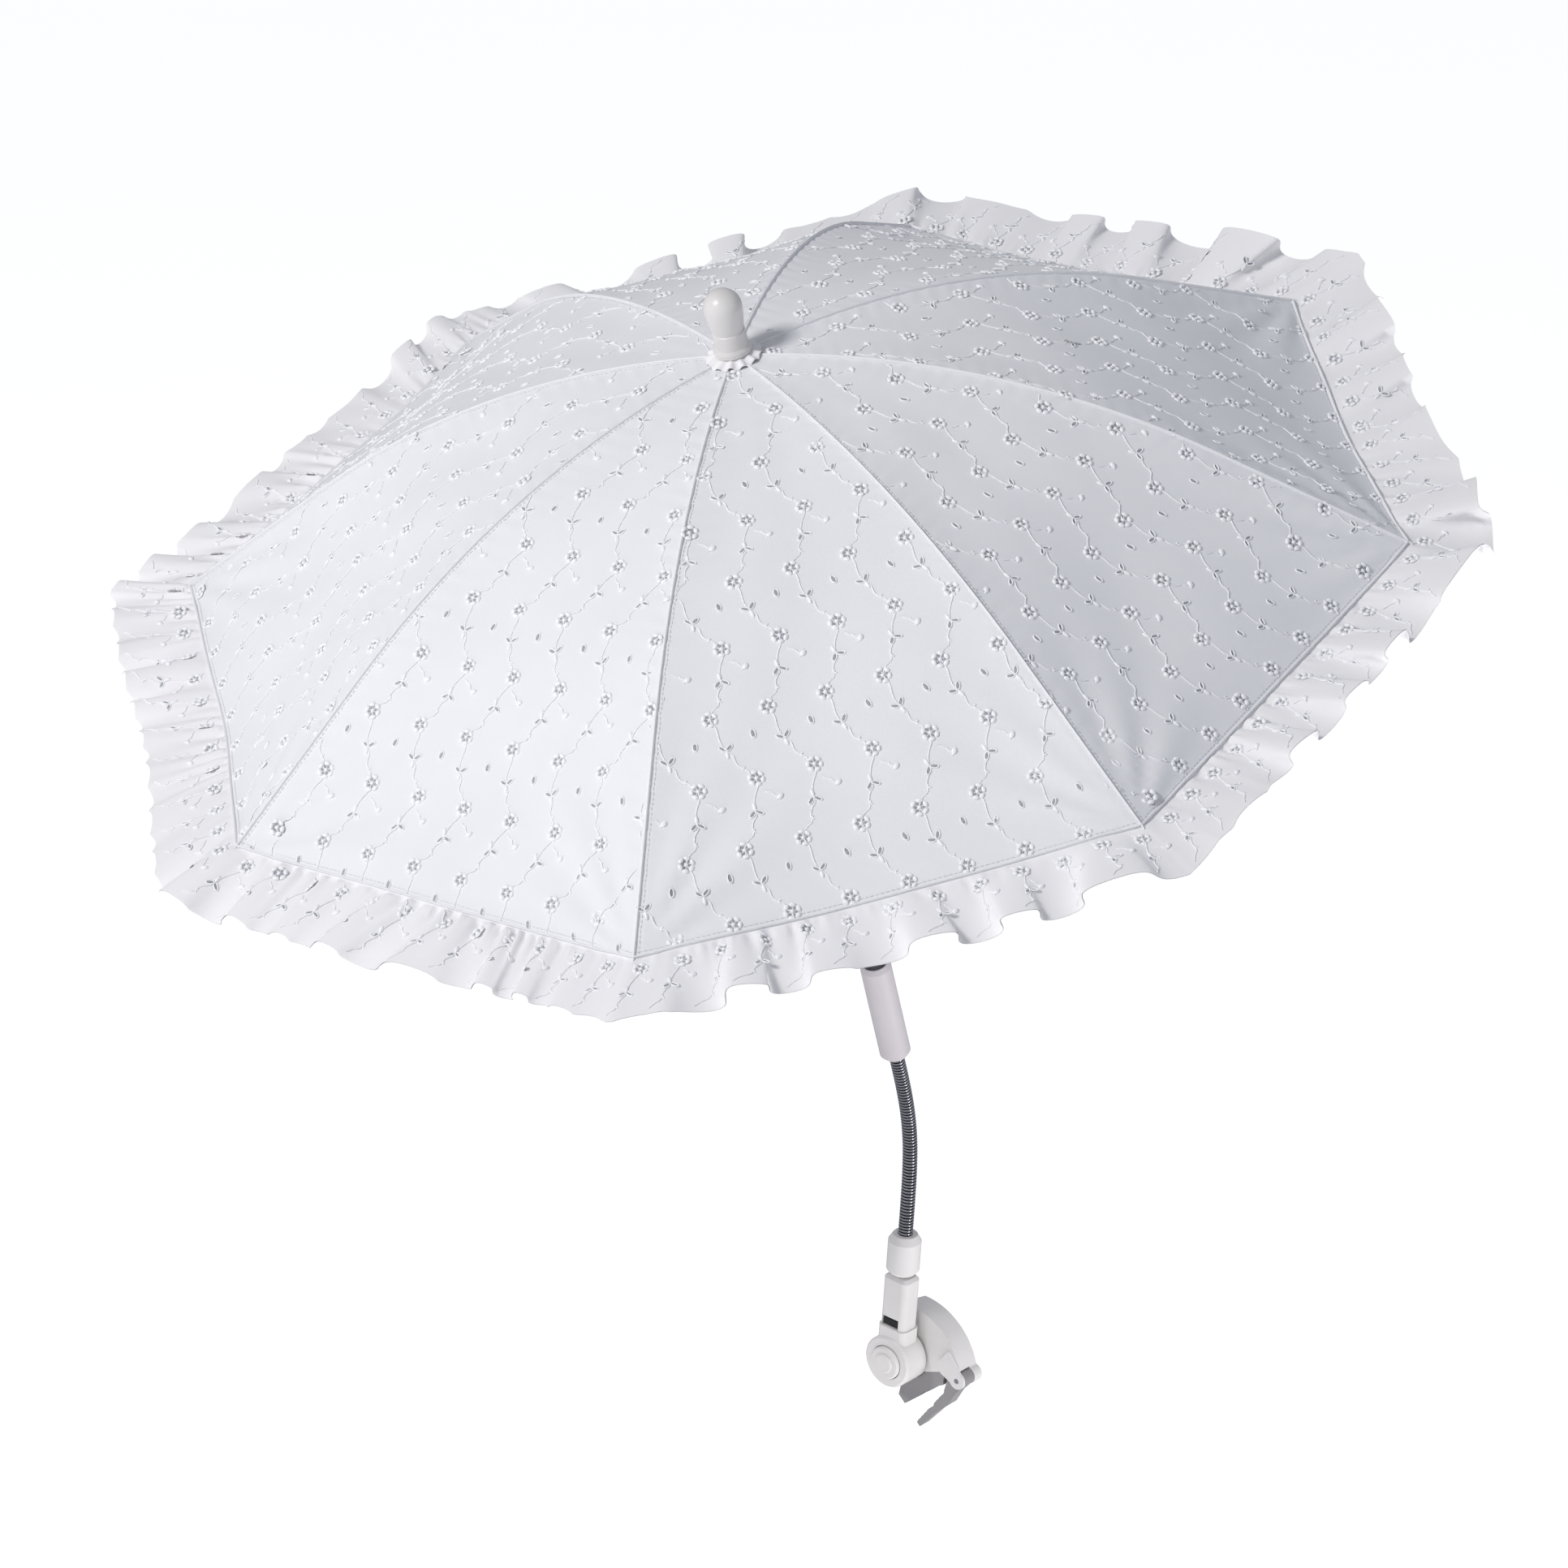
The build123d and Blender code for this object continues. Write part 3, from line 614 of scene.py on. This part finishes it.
ratio = step(tack, "ShaderNodeMath", [(0, given.outputs["Stand"]),
                                      (1, given.outputs["Half Width"])],
             [("operation", "DIVIDE")])
tack.links.new(ratio.outputs[0], squeeze.inputs["Y"])
oval = step(tack, "GeometryNodeTransform", [("Geometry", bead_line.outputs["Curve"]),
                                            ("Scale", squeeze.outputs[0])])
stood = step(tack, "GeometryNodeSetCurveNormal",
             [("Curve", path.outputs[0]),
              ("Normal", read_field(tack, "face_dir", "FLOAT_VECTOR"))], [("mode", "FREE")])
bead = step(tack, "GeometryNodeCurveToMesh", [("Curve", stood.outputs[0]),
                                              ("Profile Curve", oval.outputs[0])],
            Fill_Caps=True)
bead_cloth = step(tack, "GeometryNodeSetMaterial", [("Geometry", bead.outputs[0]),
                                                    ("Material", given.outputs["Cloth"])])
shift = step(tack, "ShaderNodeVectorMath",
             [(0, read_field(tack, "side_dir", "FLOAT_VECTOR")),
              ("Scale", given.outputs["Side Step"])], [("operation", "SCALE")])
moved = step(tack, "GeometryNodeSetPosition", [("Geometry", path.outputs[0]),
                                               ("Offset", shift.outputs[0])])
spaced = step(tack, "GeometryNodeCurveToPoints", [("Curve", moved.outputs[0]),
                                                  ("Length", given.outputs["Stitch Pitch"])],
              [("mode", "LENGTH")])
rod = step(tack, "GeometryNodeMeshCylinder",
           [("Radius", given.outputs["Stitch Radius"]),
            ("Depth", given.outputs["Stitch Length"])], Vertices=6)
rods = step(tack, "GeometryNodeInstanceOnPoints",
            [("Points", spaced.outputs["Points"]), ("Instance", rod.outputs["Mesh"]),
             ("Rotation", spaced.outputs["Rotation"])])
rods_real = step(tack, "GeometryNodeRealizeInstances", [("Geometry", rods.outputs[0])])
rods_thread = step(tack, "GeometryNodeSetMaterial", [("Geometry", rods_real.outputs[0]),
                                                     ("Material", given.outputs["Thread"])])
join_up(tack, made, bead_cloth, rods_thread)

thread_skin, given, made = shader_group(
    "spun_thread",
    [("Base", colour, (0.9, 0.9, 0.9, 1)), ("Shade", colour, (0.8, 0.8, 0.82, 1)),
     ("Twist", number, 5200.0)],
    [("Colour", colour, None), ("Roughness", number, None), ("Height", number, None)])
spot = thread_skin.nodes.new("ShaderNodeTexCoord").outputs["Object"]
twist = thread_skin.nodes.new("ShaderNodeTexNoise")
thread_skin.links.new(given.outputs["Twist"], twist.inputs["Scale"])
thread_skin.links.new(spot, twist.inputs["Vector"])
thread_skin.links.new(mixed(thread_skin, twist.outputs["Fac"], given.outputs["Base"],
                            given.outputs["Shade"]), made.inputs["Colour"])
thread_skin.links.new(maths(thread_skin, "ADD", 0.38,
                            maths(thread_skin, "MULTIPLY", twist.outputs["Fac"], 0.2)),
                      made.inputs["Roughness"])
thread_skin.links.new(twist.outputs["Fac"], made.inputs["Height"])
sewing_thread = skinned("sewing_thread", thread_skin,
                        {"Base": (0.88, 0.88, 0.89, 1), "Shade": (0.72, 0.72, 0.74, 1),
                         "Twist": 6000.0}, 0.3, 0.0001)
bead_cotton = skinned("bead_cotton", thread_skin,
                      {"Base": (0.90, 0.90, 0.915, 1), "Shade": (0.80, 0.80, 0.82, 1),
                       "Twist": 2600.0}, 0.3, 0.0001)


def sewn_line(name, points, face, side, values):
    """A standing seam with its stitches along these points of the cloth."""
    return grown(name, tack, points, [(i, i + 1) for i in range(len(points) - 1)],
                 {"Cloth": bead_cotton, "Thread": sewing_thread, **values},
                 [("face_dir", "FLOAT_VECTOR", face), ("side_dir", "FLOAT_VECTOR", side)])


for k in range(rib_count):
    reach = np.linspace(0.012, tip_reach + 0.001, 150)
    line = gore_point(k, reach, 0 * reach)
    face = np.gradient(line, axis=0)
    face = np.cross(face, np.broadcast_to(pins[k], face.shape))
    face /= -np.linalg.norm(face, axis=1, keepdims=True)
    face *= np.sign(face @ up)[:, None]
    seam = sewn_line(f"seam_{k + 1}", line + face * 0.0003, face,
                     np.broadcast_to(pins[k], face.shape), {})
    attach(seam, f"rib_{k + 1}")

# ------------------------------------------------------------------ frill round the rim
# One long strip of the same embroidered cotton, gathered onto the canopy's edge and left to stand
# out in soft folds.  The folds are small and close at the front left and broad at the back
# right, and the strip's other edge has a narrow turned hem.
frill_width, gather = 0.046, 1.35
broad_side = math.radians(112)
fold_ripple = rng.uniform(0, 2 * math.pi, 16)
east, north = out[0], np.cross(up, out[0])
ring = np.linspace(0, 2 * math.pi, 4001)


def ripples(turn, counts, first):
    """A smooth value from about -1 to 1 that repeats each turn round the rim."""
    return sum(np.sin(turn * n + fold_ripple[first + i])
               for i, n in enumerate(counts)) / len(counts) * 1.4


def broadness(turn):
    """0 where the folds are tight, at the front left, and 1 where they are broad."""
    return 0.5 + 0.5 * np.cos(turn - broad_side)


fold_pitch = 0.031 + 0.027 * broadness(ring) + 0.010 * ripples(ring, (5, 9, 14), 0)
folds = np.concatenate([[0], np.cumsum((tip_reach * np.diff(ring))
                                       / (fold_pitch[1:] + fold_pitch[:-1]) * 2)])
folds *= 2 * math.pi * round(folds[-1]) / folds[-1]


def frill_point(k, share, part):
    """Points of the frill beside rib k: share -1 to 1 along the rim, part 0 to 1 across."""
    share, part = np.broadcast_arrays(np.asarray(share, float), np.asarray(part, float))
    base = gore_point(k, np.full(share.shape, tip_reach), share)
    away = base - rim_centre
    turn = np.arctan2(away @ north, away @ east) % (2 * math.pi)
    level = away - (away @ up)[..., None] * up
    outward = level / np.linalg.norm(level, axis=-1, keepdims=True)
    along_rim = np.cross(up, outward)
    bent = turn + 0.035 * part * ripples(turn, (7, 11, 17), 3)
    phase = np.interp(bent % (2 * math.pi), ring, folds)
    broad = broadness(turn)
    size = (0.0037 + 0.0040 * broad) * (0.70 + 0.75 * ripples(turn, (6, 13, 21), 6))
    size = np.clip(size, 0.0007, 0.0095)
    grow = 0.12 * (1 - np.exp(-part / 0.08)) + 0.88 * part ** 1.1
    crest = np.sin(phase) + 0.16 * np.sin(2 * phase + 0.9)
    close = np.clip(0.55 + 0.6 * ripples(turn, (4, 9, 15), 5), 0.1, 1.2) * (1.15 - 0.7 * broad)
    gathers = 0.0021 * close * np.clip(part / 0.05, 0, 1) * (
        np.exp(-part / 0.38) * np.sin(phase * 3 + 1.9 * np.sin(phase * 0.5 + 1))
        + 0.6 * np.exp(-part / 0.15) * np.sin(phase * 7 + 2.2 * np.sin(phase)))
    lean = -0.0040 + 0.0180 * np.maximum(broad - 0.45, 0) + 0.0025 * ripples(
        turn, (3, 5), 9)
    lift = lean * part ** 1.3 + size * grow * crest + gathers
    slide = -0.0032 * (0.5 + broad) * part * np.sin(2 * phase) * size / 0.005
    reach = frill_width * part * (0.985 - 0.05 * np.abs(crest) * part
                                  + 0.03 * ripples(turn, (8, 12), 11) * part)
    return (base + outward * reach[..., None] + up * lift[..., None]
            + along_rim * slide[..., None])


frill_shares, frill_parts = np.linspace(-1, 1, 201), np.linspace(0, 1, 22) ** 1.15
frill_cotton = skinned("frill_cotton", weave,
                       {"Base": (0.925, 0.91, 0.92, 1), "Shade": (0.86, 0.845, 0.86, 1),
                        "Thread Pitch": 0.0007, "Slub": 1.4}, 0.22, 0.00012)
frill_cotton.node_tree.nodes["Principled BSDF"].inputs["Sheen Weight"].default_value = 0.15
for k in range(rib_count):
    part, share = np.meshgrid(frill_parts, frill_shares, indexing="ij")
    points = frill_point(k, share, part)
    uv = np.stack([(share + 1) / 2 * rim_width * gather, 0.5 + part * frill_width], -1)
    frill = new_piece(f"frill_{k + 1}", points.reshape(-1, 3), grid_faces(*part.shape),
                      frill_cotton, uv.reshape(-1, 2))
    thick = frill.modifiers.new("thickness", "SOLIDIFY")
    thick.thickness, thick.offset, thick.use_rim = cloth_thickness, -1, False
    fold_with(frill, k)

# The frill is caught to the canopy by a narrow binding that shows as a fine raised line.
for k in range(rib_count):
    share = np.linspace(-1, 1, 120)
    line = gore_point(k, np.full(120, tip_reach - 0.001), share)
    inward = gore_point(k, np.full(120, tip_reach - 0.006), share) - line
    inward /= np.linalg.norm(inward, axis=1, keepdims=True)
    face = np.cross(np.gradient(line, axis=0), inward)
    face *= np.sign(face @ up)[:, None]
    face /= np.linalg.norm(face, axis=1, keepdims=True)
    binding = sewn_line(f"rim_binding_{k + 1}", line + face * 0.0003, face, inward,
                        {"Half Width": 0.0012, "Stand": 0.0006, "Side Step": 0.0022})
    fold_with(binding, k)

# ------------------------------------------------------------------ embroidery
# White satin stitch worked through the cotton by machine: a zigzag stem along each gore with a
# ring flower at every turn, a three-stroke sprig between flowers, and buds on short side
# threads.  Small eyelets are punched beside the satin strokes; they are not cut here, but laid
# as flat grey-blue ovals whose colour is painted shadow.
satin = skinned("satin_stitch", thread_skin,
                {"Base": (0.97, 0.97, 0.98, 1), "Shade": (0.90, 0.90, 0.92, 1),
                 "Twist": 3000.0}, 0.35, 0.00015)
satin.node_tree.nodes["Principled BSDF"].inputs["Sheen Weight"].default_value = 0.3
# Painted shadow: the flat ovals in the eyelets get this grey-blue in place of real holes.
eyelet = skinned("eyelet_shadow", thread_skin,
                 {"Base": (0.42, 0.43, 0.47, 1), "Shade": (0.30, 0.31, 0.345, 1),
                  "Twist": 2500.0}, 0.3, 0.0001)


def pad(points, faces, kinds, centre, turned, half_long, half_wide, height, dark=False):
    """Add a low oval pad of satin, or a flat oval of shadow, to a motif."""
    sides, first = 10, len(points)
    c, s = math.cos(turned), math.sin(turned)
    levels = [(1.0, 0.0), (0.96, 0.06)] if dark else [(1.0, -0.05), (0.86, 0.55), (0.5, 0.92)]
    for share, lift in levels:
        for i in range(sides):
            a = 2 * math.pi * i / sides
            x, y = half_long * share * math.cos(a), half_wide * share * math.sin(a)
            points.append((centre[0] + x * c - y * s, centre[1] + x * s + y * c,
                           height * lift))
    points.append((centre[0], centre[1], height * (0.06 if dark else 1.0)))
    for level in range(len(levels) - 1):
        for i in range(sides):
            a, b = first + level * sides + i, first + level * sides + (i + 1) % sides
            faces.append((a, b, b + sides, a + sides))
            kinds.append(int(dark))
    last = first + (len(levels) - 1) * sides
    for i in range(sides):
        faces.append((last + i, last + (i + 1) % sides, len(points) - 1))
        kinds.append(int(dark))


def rim_of(points, faces, kinds, centre, turned, half_long, half_wide, width, height):
    """Add a raised oval ring of satin round an eyelet."""
    sides, first = 12, len(points)
    c, s = math.cos(turned), math.sin(turned)
    for inset, lift in ((0.0, -0.05), (0.3, 0.85), (0.65, 0.9), (1.0, 0.0)):
        for i in range(sides):
            a = 2 * math.pi * i / sides
            x = (half_long - width * inset) * math.cos(a)
            y = (half_wide - width * inset) * math.sin(a)
            points.append((centre[0] + x * c - y * s, centre[1] + x * s + y * c,
                           height * lift))
    for level in range(3):
        for i in range(sides):
            a, b = first + level * sides + i, first + level * sides + (i + 1) % sides
            faces.append((a, b, b + sides, a + sides))
            kinds.append(0)


mm = 0.001
motif_box = bpy.data.collections.new("motifs")


def motif(name, parts):
    """A little mesh of satin and shadow, kept for the tree to place."""
    points, faces, kinds = [], [], []
    for make, *numbers in parts:
        make(points, faces, kinds, *numbers)
    mesh = bpy.data.meshes.new(name)
    mesh.from_pydata(points, [], faces)
    mesh.materials.append(satin)
    mesh.materials.append(eyelet)
    mesh.polygons.foreach_set("material_index", kinds)
    mesh.shade_smooth()
    motif_box.objects.link(bpy.data.objects.new(name, mesh))


def around(radius, angle):
    """A place at this distance and direction from the middle of a motif."""
    return (radius * math.cos(angle), radius * math.sin(angle))


petals = 6
ring_flower = [(pad, (0, 0), 0, 1.05 * mm, 1.05 * mm, 0.8 * mm)]
for i in range(petals):
    a = 2 * math.pi * i / petals
    ring_flower.append((pad, around(3.25 * mm, a), a + math.pi / 2, 1.75 * mm, 1.15 * mm,
                        0.95 * mm))
    b = a + math.pi / petals
    ring_flower.append((pad, around(2.05 * mm, b), b, 1.0 * mm, 0.75 * mm, 0.5 * mm, True))
motif("a_ring_flower", ring_flower)
sprig = [(pad, (-2.2 * mm, 0), 0, 2.3 * mm, 0.95 * mm, 0.8 * mm)]
for a in (0.95, -0.85):
    sprig.append((pad, around(2.3 * mm, a), a, 1.5 * mm, 0.6 * mm, 0.5 * mm, True))
    sprig.append((rim_of, around(2.3 * mm, a), a, 2.5 * mm, 1.35 * mm, 0.75 * mm, 0.6 * mm))
motif("b_sprig", sprig)
motif("c_open_bud", [(pad, (0, 0), 0, 1.7 * mm, 0.75 * mm, 0.5 * mm, True),
                     (rim_of, (0, 0), 0, 2.6 * mm, 1.55 * mm, 0.75 * mm, 0.6 * mm)])
motif("d_full_bud", [(pad, (0, 0), 0, 2.0 * mm, 1.35 * mm, 1.0 * mm),
                     (pad, (-1.9 * mm, 0.3 * mm), 0.3, 0.8 * mm, 0.45 * mm, 0.4 * mm)])
motif("e_leaf", [(pad, (0.5 * mm, 0.5 * mm), 0.7, 0.95 * mm, 0.5 * mm, 0.4 * mm),
                 (pad, (0.5 * mm, -0.5 * mm), -0.7, 0.95 * mm, 0.5 * mm, 0.4 * mm)])

needle, given, made = geometry_group(
    "needlework", [("Thread Radius", metres, 0.00034), ("Motifs", "NodeSocketCollection", None),
                   ("Thread", stuff, None)])
kind_field = read_field(needle, "kind", "INT")
wanted = step(needle, "FunctionNodeCompare", (), [("data_type", "INT"),
                                                  ("operation", "GREATER_EQUAL")])
needle.links.new(kind_field, wanted.inputs[2])
wanted.inputs[3].default_value = 0
lifted = step(needle, "FunctionNodeAlignRotationToVector",
              [("Vector", read_field(needle, "face_dir", "FLOAT_VECTOR"))], [("axis", "Z")])
aimed = step(needle, "FunctionNodeAlignRotationToVector",
             [("Rotation", lifted.outputs[0]),
              ("Vector", read_field(needle, "stem_dir", "FLOAT_VECTOR"))],
             [("axis", "X"), ("pivot_axis", "Z")])
store = step(needle, "GeometryNodeCollectionInfo", [("Collection", given.outputs["Motifs"])],
             Separate_Children=True, Reset_Children=True)
placed = step(needle, "GeometryNodeInstanceOnPoints",
              [("Points", given.outputs["Geometry"]), ("Selection", wanted.outputs[0]),
               ("Instance", store.outputs[0]), ("Instance Index", kind_field),
               ("Rotation", aimed.outputs[0]), ("Scale", read_field(needle, "size", "FLOAT"))],
              Pick_Instance=True)
placed_real = step(needle, "GeometryNodeRealizeInstances", [("Geometry", placed.outputs[0])])
stems = step(needle, "GeometryNodeMeshToCurve", [("Mesh", given.outputs["Geometry"])])
round_line = step(needle, "GeometryNodeCurvePrimitiveCircle",
                  [("Radius", given.outputs["Thread Radius"])], Resolution=4)
stem_tube = step(needle, "GeometryNodeCurveToMesh", [("Curve", stems.outputs[0]),
                                                     ("Profile Curve", round_line.outputs[0])])
stem_thread = step(needle, "GeometryNodeSetMaterial",
                   [("Geometry", stem_tube.outputs[0]), ("Material", given.outputs["Thread"])])
join_up(needle, made, placed_real, stem_thread)

column_gap, flower_gap, swing = 0.029, 0.035, 0.0073
# motif kind, place across and along from the flower, direction, for a left and a right turn
left_turn = [(3, 0.0090, 0.0120, 2.4), (1, -0.0045, 0.0164, 0.2), (4, -0.0080, 0.0265, 1.9)]
right_turn = [(2, -0.0103, 0.0121, 0.15), (1, 0.0041, 0.0179, 3.4), (4, 0.0094, 0.0283, 1.2)]


def worked(cells):
    """Embroider a surface.  cells gives, for each flower, its cloth place, which way the stem
    turns next and the function that lays a cloth place on the surface."""
    points, edges, kinds, faces, stems, sizes = [], [], [], [], [], []

    def put(lay, x, y, kind, angle, size, lift):
        at = lay(x, y)
        if at is None:
            return None
        spot, normal, along = at
        side = np.cross(normal, along)
        points.append(spot + normal * lift)
        kinds.append(kind)
        faces.append(normal)
        stems.append(along * math.cos(angle) + side * math.sin(angle))
        sizes.append(size)
        return len(points) - 1

    def thread(lay, start, end, bow):
        last = None
        for s in np.linspace(0, 1, 9):
            x = start[0] + (end[0] - start[0]) * s + bow * math.sin(s * math.pi * 2)
            y = start[1] + (end[1] - start[1]) * s + abs(bow) * 0.6 * math.sin(s * math.pi * 3)
            here = put(lay, x, y, -1, 0, 1, 0.0002)
            if here is not None and last is not None:
                edges.append((last, here))
            last = here

    for lay, x, y, turn_left, jitter in cells:
        put(lay, x, y, 0, jitter * 6.28, 0.96 + 0.1 * jitter, 0.0001)
        sprigs = left_turn if turn_left else right_turn
        ahead = -2 * swing if turn_left else 2 * swing
        knots = [(x, y)]
        for kind, dx, dy, angle in sprigs:
            put(lay, x + dx, y + dy, kind, angle + 0.25 * (jitter - 0.5),
                0.95 + 0.12 * jitter, 0.0001)
            if kind in (1, 4):
                knots.append((x + dx, y + dy))
            elif kind == 3:
                thread(lay, (x + dx * 0.25, y + dy * 0.6), (x + dx, y + dy), 0.0006)
        knots.append((x + ahead, y + flower_gap))
        for a, b in zip(knots, knots[1:]):
            thread(lay, a, b, 0.0008)
    return points, edges, kinds, faces, stems, sizes


def surface_place(point, a, b, da, db):
    """Place, normal and second direction of a surface at two of its own coordinates."""
    here = point(a, b)
    along_a, along_b = point(a + da, b) - here, point(a, b + db) - here
    normal = np.cross(along_a, along_b)
    normal /= np.linalg.norm(normal)
    normal *= np.sign(normal @ up) or 1
    return here, normal, along_b / np.linalg.norm(along_b)


reaches = np.linspace(0, tip_reach, 400)
mid_length = np.concatenate([[0], np.cumsum(np.hypot(
    np.diff(reaches) * math.cos(half_gore), np.diff(seam_height(reaches))))])


def gore_layer(k, right):
    """Lay places of one gore's flat cloth on the half of it that goes with rib k."""
    def lay(x, y):
        if not 0.016 < y < mid_length[-1] - 0.001:
            return None
        reach = float(np.interp(y, mid_length, reaches))
        half = reach * math.sin(half_gore)
        off = x if right else -x
        if off > 0.0005 or -off > half - 0.0022:
            return None
        share = (1 + off / half) * (1 if right else -1)
        return surface_place(lambda s, r: gore_point(k, np.array(r), np.array(s)),
                             share, reach, 0.002 * (1 if share < 0.9 else -1), 0.0015)
    return lay


def frill_layer(k):
    def lay(x, y):
        share, part = x / (rim_width * gather / 2), y / frill_width
        if abs(share) > 1 or not 0.06 < part < 0.93:
            return None
        return surface_place(lambda s, p: frill_point(k, np.array(s), np.array(p)), share,
                             part, 0.002, 0.01)
    return lay


gore_start = rng.uniform(0, 1, (rib_count, 2))
for k in range(rib_count):
    cells = []
    for right in (True, False):
        gore = (k + 1) % rib_count if right else k
        lay = gore_layer(k, right)
        x_start = (gore_start[gore, 0] - 0.5) * column_gap
        y_start = 0.012 + gore_start[gore, 1] * flower_gap
        for column in range(-6, 7):
            for row in range(0, 12):
                left = row % 2 == 0
                x = x_start + column * column_gap + (swing if left else -swing)
                jitter = (math.sin(gore * 12.9 + column * 78.2 + row * 37.7) * 43758.5) % 1
                cells.append((lay, x, y_start + (row - 1) * flower_gap, left, jitter))
    lay = frill_layer(k)
    for column in range(-7, 8):
        for row in range(-1, 2):
            left = row % 2 == 0
            jitter = (math.sin(k * 9.1 + column * 52.4 + row * 17.7) * 43758.5) % 1
            cells.append((lay, (column + 0.5 * (k % 2)) * column_gap * 0.93
                          + (swing if left else -swing),
                          0.009 + row * flower_gap, left, jitter))
    points, edges, kinds, faces, stems, sizes = worked(cells)
    lace = grown(f"embroidery_{k + 1}", needle, points, edges,
                 {"Motifs": motif_box, "Thread": satin},
                 [("kind", "INT", kinds), ("face_dir", "FLOAT_VECTOR", faces),
                  ("stem_dir", "FLOAT_VECTOR", stems), ("size", "FLOAT", sizes)])
    lace.data.shade_smooth()
    fold_with(lace, k)
for stitch in list(motif_box.objects):
    bpy.data.objects.remove(stitch)
bpy.data.collections.remove(motif_box)

# ------------------------------------------------------------------ rosette under the ferrule
# A small gathered ring of the same cotton with a pierced, scalloped edge, threaded on the shaft
# and pressed down by the ferrule, which covers the hole where the gores meet.
rosette_low, rosette_high = dome_top + 0.0010, dome_top + 0.0040
rosette_reach, rosette_folds = 0.0142, 13
turns, rows = np.linspace(0, 2 * math.pi, 261)[:-1], np.linspace(0, 1, 12)
part, around_shaft = np.meshgrid(rows, turns, indexing="ij")
ripple = np.sin(around_shaft * rosette_folds) + 0.3 * np.sin(around_shaft * 5 + 1)
scallop = 0.0006 * np.abs(np.sin(around_shaft * rosette_folds)) * part ** 3
reach = 0.0042 + (rosette_reach - 0.0042) * part + scallop
height = (rosette_high + (rosette_low - rosette_high) * part ** 1.4
          + 0.0011 * part ** 1.5 * ripple)
points = (rim_centre + up * height[..., None]
          + (np.cos(around_shaft)[..., None] * east + np.sin(around_shaft)[..., None] * north)
          * reach[..., None])
columns = len(turns)
faces = [((r + 1) * columns + c, (r + 1) * columns + (c + 1) % columns,
          r * columns + (c + 1) % columns, r * columns + c)
         for r in range(len(rows) - 1) for c in range(columns)]
uv = np.stack([around_shaft * 0.01, part * 0.012], -1)
rosette = new_piece("rosette_lace", points.reshape(-1, 3), faces, frill_cotton,
                    uv.reshape(-1, 2))
thick = rosette.modifiers.new("thickness", "SOLIDIFY")
thick.thickness, thick.offset = 0.0004, 0
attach(rosette, "canopy_shaft")
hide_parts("rosette")
